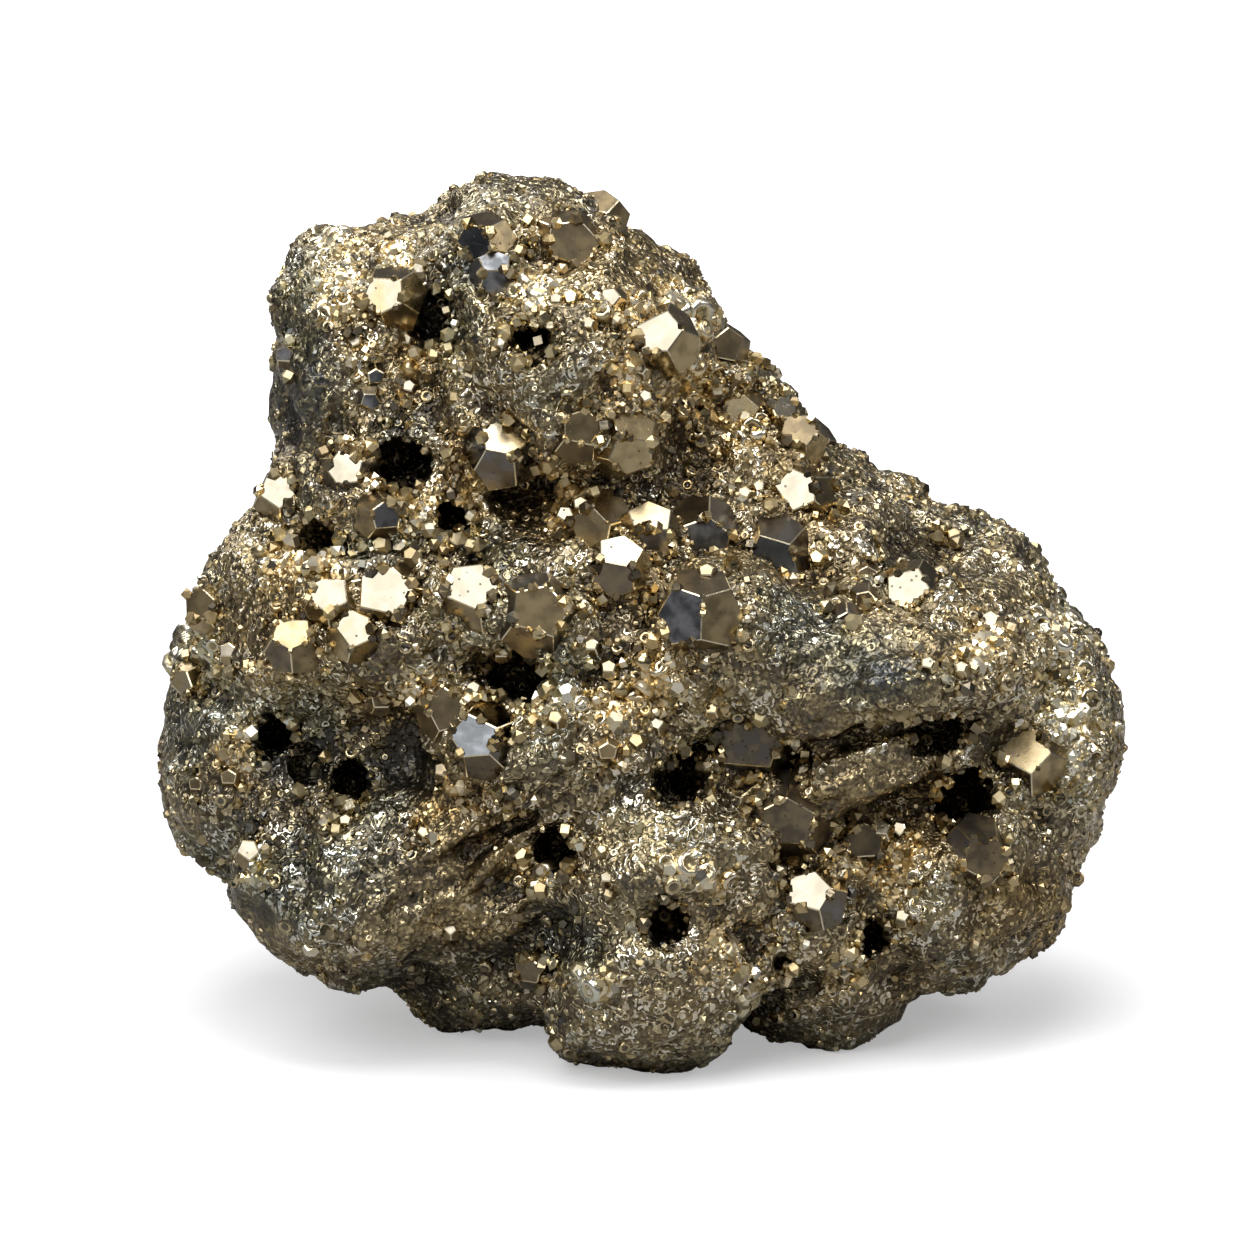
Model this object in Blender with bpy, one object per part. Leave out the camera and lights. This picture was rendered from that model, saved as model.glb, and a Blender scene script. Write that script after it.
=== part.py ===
"""Pyrite specimen: one lump of massive pyrite with pyritohedral crystals grown out of its surface.

The lump is a set of swollen lobes knitted into one body, roughened, and pitted with vugs and
undercut ledges. It stands on the undersides of its lowest lobes, which are worn flat. Each large
crystal is a pyritohedron, a solid with twelve five-sided faces, part sunk in the lump and fused.
"""

import math
import random

import bmesh
import bpy
from mathutils import Euler, Matrix, Vector
from mathutils.bvhtree import BVHTree

MM = 0.001

# Driving dimensions of the lump, in millimetres.
LUMP_VOXEL = 0.9        # grain size at which the lobes are knitted together
PITTED_VOXEL = 0.7      # grain size at which the pitted body is knitted again
CREASE_SOFTENING = 9    # smoothing passes over the creases between lobes
KNOB_SPACING = 7.0      # spacing and height of the low knobs all over the lump
KNOB_HEIGHT = 4.2
GRIT_SPACING = 2.6      # spacing and height of the coarse grit on the knobs
GRIT_HEIGHT = 1.1
LUMP_TRIANGLES = 6000   # facets kept for the lump before the crystals are fused on

# Driving dimensions of the crystals. A crystal's size is its mean width, MEAN_WIDTH times the
# span between two opposite edges.
TRUNCATION = 0.5        # 0.5 gives the true pyritohedron, 0 would give a cube
MEAN_WIDTH = 1.08

# Crystals and vugs on the sides, top and back, spread evenly over a range of climbs and turns.
BACK_CRYSTALS = 26
BACK_SMALLEST = 3.4
BACK_LARGEST = 5.6
BACK_SUNK = 0.25        # depth of their middles under the surface as a share of their size
BACK_VUGS = 9
BACK_VUG_WIDTHS = (1.3, 2.3)
BACK_VUG_DEPTH = 1.6    # depth and height as shares of the width
BACK_VUG_HEIGHT = 1.1
BACK_CLIMBS = (-22, 78)  # degrees above the level of MIDDLE
BACK_TURNS = (12, 168)   # degrees round from +x, by way of the back
CRYSTAL_START = 0.2     # where each spread starts, as a share of the way round
VUG_START = 0.35
GOLDEN_RATIO = 0.618
CRYSTAL_SEED = 7
VUG_SEED = 3
OUTSIDE = 200           # a distance from MIDDLE that is clear of the specimen

# The ground that wears the feet flat.
SLAB_WIDTH = 120
SLAB_THICKNESS = 20

# Sight lines. A place on the front is given by the point (across, up), in millimetres, where the
# line from VIEWPOINT to the place crosses the upright plane y = SIGHT_PLANE.
VIEWPOINT = Vector((-0.9, -511.6, 141.5))
SIGHT_PLANE = -3
MIDDLE = Vector((0, -1, 33))

# Lobes: name, centre x, y, z, radii along x, y, z, then lean about the front-to-back axis in degrees.
LOBES = (
    ("core", -3, 0, 29, 26, 20, 21, 0),
    ("summit", -5.3, -2, 55.7, 12, 15, 11.6, 14),
    ("crown", -10, 1, 61.5, 9, 11, 8.6, 0),
    ("summit_right", 0.0, 0, 54, 6.2, 11, 9.2, 25),
    ("summit_skirt", 3, 5, 50.7, 8.2, 8.5, 6.8, 0),
    ("shoulder", -22, 2, 53, 8, 12, 11, 0),
    ("shoulder_peak", -25, 2, 61, 4.5, 6, 4.8, 0),
    ("shoulder_bridge", -19, 3, 60, 6, 9, 6.2, 0),
    ("waist", -19, -1, 45, 10.5, 14, 8, 0),
    ("left_flank", -23.5, -2, 35, 12.5, 15, 10.5, 0),
    ("left_belly", -27.3, -1, 22, 12, 15, 12.4, 0),
    ("lower_left", -22, -7, 14.5, 12.5, 14, 9.5, 8),
    ("left_apron", -12, -10, 17, 12, 12, 10, -20),
    ("keel", -11, -5, 8.2, 9, 10, 8.7, 0),
    ("foot", 0.8, -17.5, 8.5, 9.2, 9, 8.8, 0),
    ("shin", 2, -16, 17, 10.5, 9.5, 10, 0),
    ("rib", -6, -15, 27, 11, 9, 9, 0),
    ("lower_middle", 9, -11, 14.5, 12, 12, 11, 0),
    ("right_toe", 14.5, -9, 8.3, 8.8, 9.5, 8.8, 0),
    ("lower_right", 24, -6, 13.5, 12, 13, 9, 0),
    ("right_end", 29.8, 0, 23, 9.8, 14, 14, 0),
    ("right_heel", 28, -2, 14, 8.2, 12, 9.6, 0),
    ("right_mass", 18, -7, 31.5, 16, 17, 8.2, -6),
    ("ridge_end", 24.5, 1, 35.4, 10.5, 13, 6.5, 12),
    ("ridge_middle", 16, 1, 39, 9.5, 12, 7.2, 30),
    ("slope", 9, 2, 44.3, 9, 10, 6.8, 32),
    ("band", 17, -10, 23, 15, 11, 5, -12),
    ("left_brow", -19, -11, 36, 10, 9, 7, 0),
    ("middle_brow", -5, -12, 37, 13, 10, 7, 0),
    ("right_brow", 6, -14, 35, 9, 9.5, 7, 0),
    ("back", -5, 11, 31, 21, 14, 18, 0),
    ("back_right", 16, 12, 24, 14, 12, 15, 0),
    ("back_left", -19, 12, 28, 12, 12, 15, 0),
    ("back_left_foot", -12, 12, 8.4, 9, 10, 9.3, 0),
    ("back_right_foot", 13, 12, 8.4, 10, 10, 9.3, 0),
    ("back_base", 1, 8, 15.5, 25, 15, 11.5, 0),
    ("back_knob", -3, 12, 45, 8, 8, 7, 0),
    ("back_neck", -11, 6, 49, 14, 10, 11, 0),
    ("back_bump_high", -14, 19, 40, 8, 6, 7, 30),
    ("back_bump_middle", 7, 21, 33, 8, 5.5, 7, -20),
    ("back_bump_low", 20, 18, 19, 8, 6.5, 6, 15),
    ("back_bump_left", -24, 17, 20, 7, 7, 6.5, 0),
    ("right_bump", 33.2, 5, 17, 5.2, 6.5, 6, 0),
    ("left_bump", -33.8, 6, 28, 4.8, 6.5, 6, 0),
    ("top_back", -13, 9, 59, 7, 6, 7, 0),
)

# Vugs and undercuts on the front: name, across, up, then radii across, in, up, depth of the middle
# under the surface, and lean in degrees.
VUGS = (
    ("summit_vug", -8.6, 57.5, 2.5, 4.0, 2.0, 0.6, 15),
    ("waist_vug", -19.6, 46.8, 2.1, 4.0, 2.1, 0.6, 40),
    ("waist_small_vug", -15.0, 42.4, 1.9, 3.4, 2.0, 0.6, 0),
    ("left_vug", -26.4, 40.4, 1.6, 3.2, 1.8, 0.4, 0),
    ("middle_vug", -10.1, 28.9, 2.5, 4.0, 2.7, 0.8, 0),
    ("rib_vug", 3.9, 21.1, 2.0, 3.8, 2.4, 0.5, 0),
    ("band_vug", 12.4, 22.2, 1.9, 3.4, 1.5, 0.4, 0),
    ("left_belly_vug", -30.3, 24.6, 1.7, 3.2, 1.7, 0.4, 0),
    ("left_belly_slot", -23.8, 19.7, 1.5, 3.2, 2.2, 0.4, -20),
    ("apron_vug", -6.8, 14.5, 1.4, 3.0, 1.4, 0.4, 0),
    ("shin_vug", 2.5, 8.2, 1.5, 2.8, 1.5, 0.4, 0),
    ("lower_vug", 19.3, 7.2, 1.3, 2.8, 1.6, 0.4, 0),
    ("right_vug", 27.2, 18.8, 1.9, 4.0, 2.6, 0.6, 20),
    ("ledge_slot", 24.8, 24.4, 2.8, 4.0, 1.2, 0.6, -6),
    ("hollow_by_crystal", -16.6, 58.8, 1.1, 3.0, 2.8, 0.4, 8),
    ("ledge_cut", 17.5, 23.8, 9.5, 3.8, 1.0, 0.8, -12),
    ("lower_ledge_cut", 19.5, 16.4, 10.5, 4.8, 2.2, 1.0, -20),
    ("apron_groove", -11.5, 15.8, 9.0, 2.4, 0.9, 0.2, -35),
    ("apron_groove_low", -10.5, 11.5, 8.0, 2.2, 0.9, 0.2, -35),
)

# Crystals on the front: across, up, size across, then the turn to the right, the turn upward and
# the spin, in degrees, of the leading face away from facing squarely forward, then how far the
# middle lies under the surface as a share of the size.
CRYSTALS = (
    (-19.9, 60.6, 5.6, -19, 24, 180, 0.02),
    (-12.4, 65.3, 5.0, -25, 8, 40, 0.16),
    (-11.8, 62.6, 4.2, 10, -5, 180, 0.12),
    (-5.7, 64.7, 6.8, 8, 18, 20, 0.33),
    (2.1, 57.2, 6.0, -12, 28, 150, 0.14),
    (-11.1, 48.0, 6.4, 8, 42, 165, -0.06),
    (-4.9, 49.7, 5.2, 10, 16, 15, 0.24),
    (-1.0, 48.7, 5.8, 12, -8, 190, 0.1),
    (8.5, 51.2, 4.6, -5, 15, 10, 0.14),
    (11.5, 51.0, 3.6, 20, 35, 0, 0.02),
    (13.1, 48.9, 5.0, 0, 36, 25, 0.2),
    (13.3, 44.2, 5.6, -13, 27, 50, 0.2),
    (-23.5, 46.2, 4.8, -13, 26, 200, 0.06),
    (-29.1, 44.2, 4.8, -14, 26, 30, 0.1),
    (-21.3, 42.7, 4.2, 25, 8, 0, 0.1),
    (-3.2, 41.6, 6.0, -18, 6, 70, 0.22),
    (0.8, 41.1, 5.6, 8, -6, 180, 0.16),
    (5.3, 41.0, 6.6, 3, 2, 10, 0.29),
    (11.1, 39.2, 7.2, -6, 3, 45, 0.29),
    (5.1, 34.6, 7.4, -25, 5, 270, 0.02),
    (-1.6, 38.3, 5.6, -8, -6, 190, 0.1),
    (-24.9, 35.6, 5.2, -13, 29, 180, 0.1),
    (-20.2, 35.4, 7.2, -11, 27, 10, 0.3),
    (-23.0, 32.7, 5.0, -10, 25, 50, 0.14),
    (-28.2, 32.0, 5.2, -6, 38, 180, 0.0),
    (-13.2, 35.9, 6.8, -12, 27, 20, 0.31),
    (-8.2, 34.5, 7.2, 2, 14, 18, 0.28),
    (-34.9, 35.0, 4.8, -35, 15, 0, 0.2),
    (-36.6, 28.8, 3.8, -40, 5, 30, 0.12),
    (-15.5, 26.4, 5.6, -10, 12, 60, 0.2),
    (-12.6, 23.7, 6.2, -20, 24, 200, 0.02),
    (9.1, 24.2, 8.0, 0, 0, 5, 0.31),
    (12.7, 17.6, 7.4, -8, -4, 0, 0.35),
    (22.5, 36.2, 5.6, -14, 27, 160, 0.14),
    (32.4, 22.2, 6.6, -15, 27, 25, 0.28),
    (14.6, 10.3, 5.8, -13, 27, 12, 0.2),
    (18.2, 15.3, 5.2, 15, 8, 0, 0.2),
    (28.0, 14.2, 6.4, 15, 0, 30, 0.33),
    (-8.3, 4.3, 3.9, -30, 5, 0, 0.02),
)


def empty_scene():
    for old in list(bpy.data.objects):
        bpy.data.objects.remove(old)


def add_object(name, mesh):
    made = bpy.data.objects.new(name, mesh)
    bpy.context.scene.collection.objects.link(made)
    return made


def evaluated_mesh(source):
    depsgraph = bpy.context.evaluated_depsgraph_get()
    return bpy.data.meshes.new_from_object(source.evaluated_get(depsgraph))


def surface_of(mesh):
    return BVHTree.FromPolygons(
        [corner.co for corner in mesh.vertices],
        [list(face.vertices) for face in mesh.polygons],
    )


def lobes_mesh():
    """Every lobe as a stretched and leant sphere, all in one mesh."""
    shape = bmesh.new()
    for _, x, y, z, across, deep, high, lean in LOBES:
        place = Matrix.LocRotScale(
            Vector((x, y, z)) * MM,
            Euler((0, math.radians(lean), 0)),
            Vector((across, deep, high)) * MM,
        )
        bmesh.ops.create_icosphere(shape, subdivisions=4, radius=1, matrix=place)
    mesh = bpy.data.meshes.new("lobes")
    shape.to_mesh(mesh)
    shape.free()
    return mesh


def add_roughness(lump, name, kind, spacing, height):
    """Moves the surface along its normals by a pattern in space."""
    pattern = bpy.data.textures.new(name, kind)
    pattern.noise_scale = spacing * MM
    rough = lump.modifiers.new(name, "DISPLACE")
    rough.texture = pattern
    rough.texture_coords = "LOCAL"
    rough.strength = height * MM
    rough.mid_level = 0.5


def front_hit(surface, across, up):
    """Where the sight line through (across, up) first meets the surface, and its direction."""
    toward = (Vector((across, SIGHT_PLANE, up)) - VIEWPOINT).normalized()
    hit = surface.ray_cast(VIEWPOINT * MM, toward)[0]
    return hit, toward


def pyritohedron_mesh(name):
    """Twenty corners, twelve equal five-sided faces; one unit from the middle to a cube corner's x."""
    long_step = 1 + TRUNCATION
    short_step = 1 - TRUNCATION ** 2
    corners = [(x, y, z) for x in (-1, 1) for y in (-1, 1) for z in (-1, 1)]
    for a in (-long_step, long_step):
        for b in (-short_step, short_step):
            corners += [(0, a, b), (a, b, 0), (b, 0, a)]
    shape = bmesh.new()
    for corner in corners:
        shape.verts.new(corner)
    bmesh.ops.convex_hull(shape, input=shape.verts)
    bmesh.ops.dissolve_limit(shape, angle_limit=0.02, verts=shape.verts, edges=shape.edges)
    bmesh.ops.recalc_face_normals(shape, faces=shape.faces)
    mesh = bpy.data.meshes.new(name)
    shape.to_mesh(mesh)
    shape.free()
    return mesh


def leading_face_turn(right, up, spin):
    """Turns one face to look forward (-y), spins it, then swings it upward and to the right."""
    face_normal = Vector((0, 1, 2)).normalized()
    to_front = face_normal.rotation_difference(Vector((0, -1, 0))).to_matrix()
    spun = Matrix.Rotation(math.radians(spin), 3, "Y")
    raised = Matrix.Rotation(math.radians(-up), 3, "X")
    swung = Matrix.Rotation(math.radians(right), 3, "Z")
    return swung @ raised @ spun @ to_front


def add_tool(name, mesh, collection):
    """A solid used only to shape the specimen."""
    tool = bpy.data.objects.new(name, mesh)
    collection.objects.link(tool)
    tool.hide_render = True
    tool.display_type = "WIRE"
    return tool


def add_crystal(name, middle, size, turn, collection):
    mesh = pyritohedron_mesh(name)
    scale = size / (2 * (1 + TRUNCATION) * MEAN_WIDTH) * MM
    mesh.transform(Matrix.LocRotScale(middle, turn.to_quaternion(), Vector((scale,) * 3)))
    add_tool(name, mesh, collection)


def add_front_crystals(surface, collection):
    for number, (across, up, size, right, raised, spin, sunk) in enumerate(CRYSTALS):
        hit, toward = front_hit(surface, across, up)
        middle = hit + toward * sunk * size * MM
        turn = leading_face_turn(right, raised, spin)
        add_crystal(f"front_crystal_{number:02d}", middle, size, turn, collection)


def between(limits, share):
    low, high = limits
    return low + (high - low) * share


def back_direction(number, count, start):
    """One of a set of directions spread over the sides, top and back by the golden ratio."""
    climb = math.radians(between(BACK_CLIMBS, (number + 0.5) / count))
    turn = math.radians(between(BACK_TURNS, (start + number * GOLDEN_RATIO) % 1))
    return Vector((
        math.cos(turn) * math.cos(climb),
        math.sin(turn) * math.cos(climb),
        math.sin(climb),
    ))


def add_other_crystals(surface, collection):
    """Crystals round the sides, top and back, their sizes and turns as chance has them."""
    chance = random.Random(CRYSTAL_SEED)
    for number in range(BACK_CRYSTALS):
        outward = back_direction(number, BACK_CRYSTALS, CRYSTAL_START)
        size = chance.uniform(BACK_SMALLEST, BACK_LARGEST)
        turn = Euler([chance.uniform(0, math.tau) for _ in range(3)]).to_matrix()
        hit = surface.ray_cast((MIDDLE + outward * OUTSIDE) * MM, -outward)[0]
        middle = hit - outward * BACK_SUNK * size * MM
        add_crystal(f"back_crystal_{number:02d}", middle, size, turn, collection)


def add_vug(name, middle, turn, radii, collection):
    shape = bmesh.new()
    place = Matrix.LocRotScale(middle, turn, Vector(radii) * MM)
    bmesh.ops.create_icosphere(shape, subdivisions=2, radius=1, matrix=place)
    mesh = bpy.data.meshes.new(name)
    shape.to_mesh(mesh)
    shape.free()
    add_tool(name, mesh, collection)


def add_vugs(surface, collection):
    for name, across, up, wide, deep, high, under, lean in VUGS:
        hit, toward = front_hit(surface, across, up)
        turn = Euler((0, math.radians(lean), 0))
        add_vug(name, hit + toward * under * MM, turn, (wide, deep, high), collection)
    chance = random.Random(VUG_SEED)
    for number in range(BACK_VUGS):
        outward = back_direction(number, BACK_VUGS, VUG_START)
        hit = surface.ray_cast((MIDDLE + outward * OUTSIDE) * MM, -outward)[0]
        wide = chance.uniform(*BACK_VUG_WIDTHS)
        turn = outward.to_track_quat("Y", "Z").to_euler()
        radii = (wide, wide * BACK_VUG_DEPTH, wide * BACK_VUG_HEIGHT)
        add_vug(f"back_vug_{number}", hit, turn, radii, collection)


def add_join(body, name, operation, collection):
    join = body.modifiers.new(name, "BOOLEAN")
    join.operation = operation
    join.operand_type = "COLLECTION"
    join.collection = collection
    join.solver = "EXACT"


def new_collection(name):
    made = bpy.data.collections.new(name)
    bpy.context.scene.collection.children.link(made)
    return made


def pyrite_material():
    material = bpy.data.materials.new("pyrite")
    material.use_nodes = True
    shader = material.node_tree.nodes["Principled BSDF"]
    shader.inputs["Base Color"].default_value = (0.42, 0.36, 0.24, 1)
    shader.inputs["Metallic"].default_value = 0.9
    shader.inputs["Roughness"].default_value = 0.35
    return material


def main():
    empty_scene()

    rough_form = add_object("rough_form", lobes_mesh())
    knit = rough_form.modifiers.new("knit", "REMESH")
    knit.mode = "VOXEL"
    knit.voxel_size = LUMP_VOXEL * MM
    soften = rough_form.modifiers.new("soften", "SMOOTH")
    soften.iterations = CREASE_SOFTENING
    add_roughness(rough_form, "knobs", "CLOUDS", KNOB_SPACING, KNOB_HEIGHT)
    add_roughness(rough_form, "grit", "VORONOI", GRIT_SPACING, GRIT_HEIGHT)

    vugs = new_collection("vugs")
    add_vugs(surface_of(evaluated_mesh(rough_form)), vugs)
    add_join(rough_form, "pit", "DIFFERENCE", vugs)
    knit_again = rough_form.modifiers.new("knit_again", "REMESH")
    knit_again.mode = "VOXEL"
    knit_again.voxel_size = PITTED_VOXEL * MM
    facets = len(evaluated_mesh(rough_form).polygons) * 2
    thin = rough_form.modifiers.new("thin", "DECIMATE")
    thin.ratio = LUMP_TRIANGLES / facets

    lump_mesh = evaluated_mesh(rough_form)
    bpy.data.objects.remove(rough_form)
    lump_mesh.name = "pyrite_cluster"
    specimen = add_object("pyrite_cluster", lump_mesh)
    lump_mesh.materials.clear()
    lump_mesh.materials.append(pyrite_material())

    surface = surface_of(lump_mesh)
    crystals = new_collection("crystals")
    add_front_crystals(surface, crystals)
    add_other_crystals(surface, crystals)
    add_join(specimen, "fuse_crystals", "UNION", crystals)

    ground = new_collection("ground")
    slab = bmesh.new()
    bmesh.ops.create_cube(slab, size=1, matrix=Matrix.LocRotScale(
        Vector((0, 0, -SLAB_THICKNESS / 2)) * MM, None,
        Vector((SLAB_WIDTH, SLAB_WIDTH, SLAB_THICKNESS)) * MM))
    slab_mesh = bpy.data.meshes.new("worn_flat")
    slab.to_mesh(slab_mesh)
    slab.free()
    add_tool("worn_flat", slab_mesh, ground)
    add_join(specimen, "wear_flat", "DIFFERENCE", ground)


main()
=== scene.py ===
"""Pyrite specimen: its granular skin, its crystals and their finish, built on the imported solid."""
import itertools
import math
import random

import bmesh
import bpy
import numpy as np
from mathutils import Euler, Matrix, Vector
from mathutils.bvhtree import BVHTree


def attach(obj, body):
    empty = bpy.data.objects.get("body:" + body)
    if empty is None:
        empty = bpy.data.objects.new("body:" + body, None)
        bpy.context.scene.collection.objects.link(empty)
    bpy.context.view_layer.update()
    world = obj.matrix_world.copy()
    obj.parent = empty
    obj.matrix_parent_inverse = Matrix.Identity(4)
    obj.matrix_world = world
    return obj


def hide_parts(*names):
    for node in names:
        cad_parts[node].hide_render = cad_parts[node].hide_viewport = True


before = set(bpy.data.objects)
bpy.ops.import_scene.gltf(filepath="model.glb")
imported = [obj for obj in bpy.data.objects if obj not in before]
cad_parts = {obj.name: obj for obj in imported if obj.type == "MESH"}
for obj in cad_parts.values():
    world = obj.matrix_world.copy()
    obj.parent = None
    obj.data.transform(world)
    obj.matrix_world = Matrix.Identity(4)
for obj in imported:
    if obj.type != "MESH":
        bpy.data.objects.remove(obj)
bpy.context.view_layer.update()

MM = 0.001
NODE = "pyrite_cluster"

# Places shared with the solid, in millimetres: the sight lines, and the spread of what is behind.
VIEWPOINT = np.array((-0.9, -511.6, 141.5))
SIGHT_PLANE = -3.0
MIDDLE = np.array((0.0, -1.0, 33.0))
FAR_OUTSIDE = 200
GOLDEN_RATIO = 0.618
BACK_CRYSTALS = 26
BACK_START = 0.2

# A crystal's habit: the share of its cube's half edge by which its ridges stand out, and that half
# edge for a crystal of size 1.
TRUNCATION = 0.5
HALF_EDGE = 1 / (2 * (1 + TRUNCATION) * 1.08)

# Skin, in millimetres.
SKIN_VOXEL = 0.51
SKIN_SMOOTHING = 3
SUNK_ROUNDS = 60
CRYSTAL_CLEARANCE = 0.35
FLOW_SPACING = 1.9
FLOW_HEIGHT = 0.22

# Crystals on the front that the solid has too: across, up, size, turn right, turn up and spin of
# the leading face in degrees, then the leading face's tone (0 slate, 0.5 tan, 1 cream gold), the
# polish (0 dull, 1 mirror) and the tone of the other faces.
CRYSTALS = (
    (-19.9, 60.6, 5.6, -19, 24, 180, 0.85, 0.85, 0.55), (-12.4, 65.3, 5.0, -25, 8, 40, 0.05, 0.6, 0.5),
    (-11.8, 62.6, 4.2, 10, -5, 180, 0.1, 0.5, 0.1), (-5.7, 64.7, 6.8, 8, 18, 20, 0.5, 0.3, 0.5),
    (2.1, 57.2, 6.0, -12, 28, 150, 1.0, 0.9, 0.6), (-11.1, 48.0, 6.4, 8, 42, 165, 0.84, 0.95, 0.1),
    (-4.9, 49.7, 5.2, 10, 16, 15, 0.64, 0.4, 0.5), (-1.0, 48.7, 5.8, 12, -8, 190, 0.74, 0.7, 0.66),
    (8.5, 51.2, 4.6, -5, 15, 10, 0.8, 0.6, 0.6), (11.5, 51.0, 3.6, 20, 35, 0, 0.9, 0.8, 0.6),
    (13.1, 48.9, 5.0, 0, 36, 25, 0.5, 0.5, 0.6), (13.3, 44.2, 5.6, -13, 27, 50, 1.0, 0.9, 0.6),
    (-23.5, 46.2, 4.8, -13, 26, 200, 0.95, 0.85, 0.3), (-29.1, 44.2, 4.8, -14, 26, 30, 1.0, 0.9, 0.5),
    (-21.3, 42.7, 4.2, 25, 8, 0, 0.15, 0.6, 0.45), (-3.2, 41.6, 6.0, -18, 6, 70, 0.62, 0.6, 0.6),
    (0.8, 41.1, 5.6, 8, -6, 180, 0.3, 0.7, 0.75), (5.3, 41.0, 6.6, 3, 2, 10, 0.08, 0.5, 0.3),
    (11.1, 39.2, 7.2, -6, 3, 45, 0.0, 0.5, 0.3), (5.1, 34.6, 7.4, -25, 5, 270, 0.1, 0.6, 0.55),
    (-1.6, 38.3, 5.6, -8, -6, 190, 0.35, 0.8, 0.8), (-24.9, 35.6, 5.2, -13, 29, 180, 0.95, 0.9, 0.55),
    (-20.2, 35.4, 7.2, -11, 27, 10, 1.0, 0.95, 0.5), (-23.0, 32.7, 5.0, -10, 25, 50, 0.9, 0.85, 0.5),
    (-28.2, 32.0, 5.2, -6, 38, 180, 0.75, 0.6, 0.55), (-13.2, 35.9, 6.8, -12, 27, 20, 1.0, 0.95, 0.5),
    (-8.2, 34.5, 7.2, 2, 14, 18, 0.7, 0.35, 0.35), (-34.9, 35.0, 4.8, -35, 15, 0, 0.6, 0.5, 0.8),
    (-36.6, 28.8, 3.8, -40, 5, 30, 0.8, 0.8, 0.6), (-15.5, 26.4, 5.6, -10, 12, 60, 0.5, 0.4, 0.5),
    (-12.6, 23.7, 6.2, -20, 24, 200, 0.02, 0.95, 0.4), (9.1, 24.2, 8.0, 0, 0, 5, 0.3, 0.2, 0.4),
    (12.7, 17.6, 7.4, -8, -4, 0, 0.37, 0.15, 0.34), (22.5, 36.2, 5.6, -14, 27, 160, 1.0, 0.9, 0.55),
    (32.4, 22.2, 6.6, -15, 27, 25, 0.76, 0.6, 0.5), (14.6, 10.3, 5.8, -13, 27, 12, 1.0, 0.95, 0.4),
    (18.2, 15.3, 5.2, 15, 8, 0, 0.42, 0.5, 0.5), (28.0, 14.2, 6.4, 15, 0, 30, 0.44, 0.2, 0.42),
    (-8.3, 4.3, 3.9, -30, 5, 0, 0.4, 0.6, 0.5),
)

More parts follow.
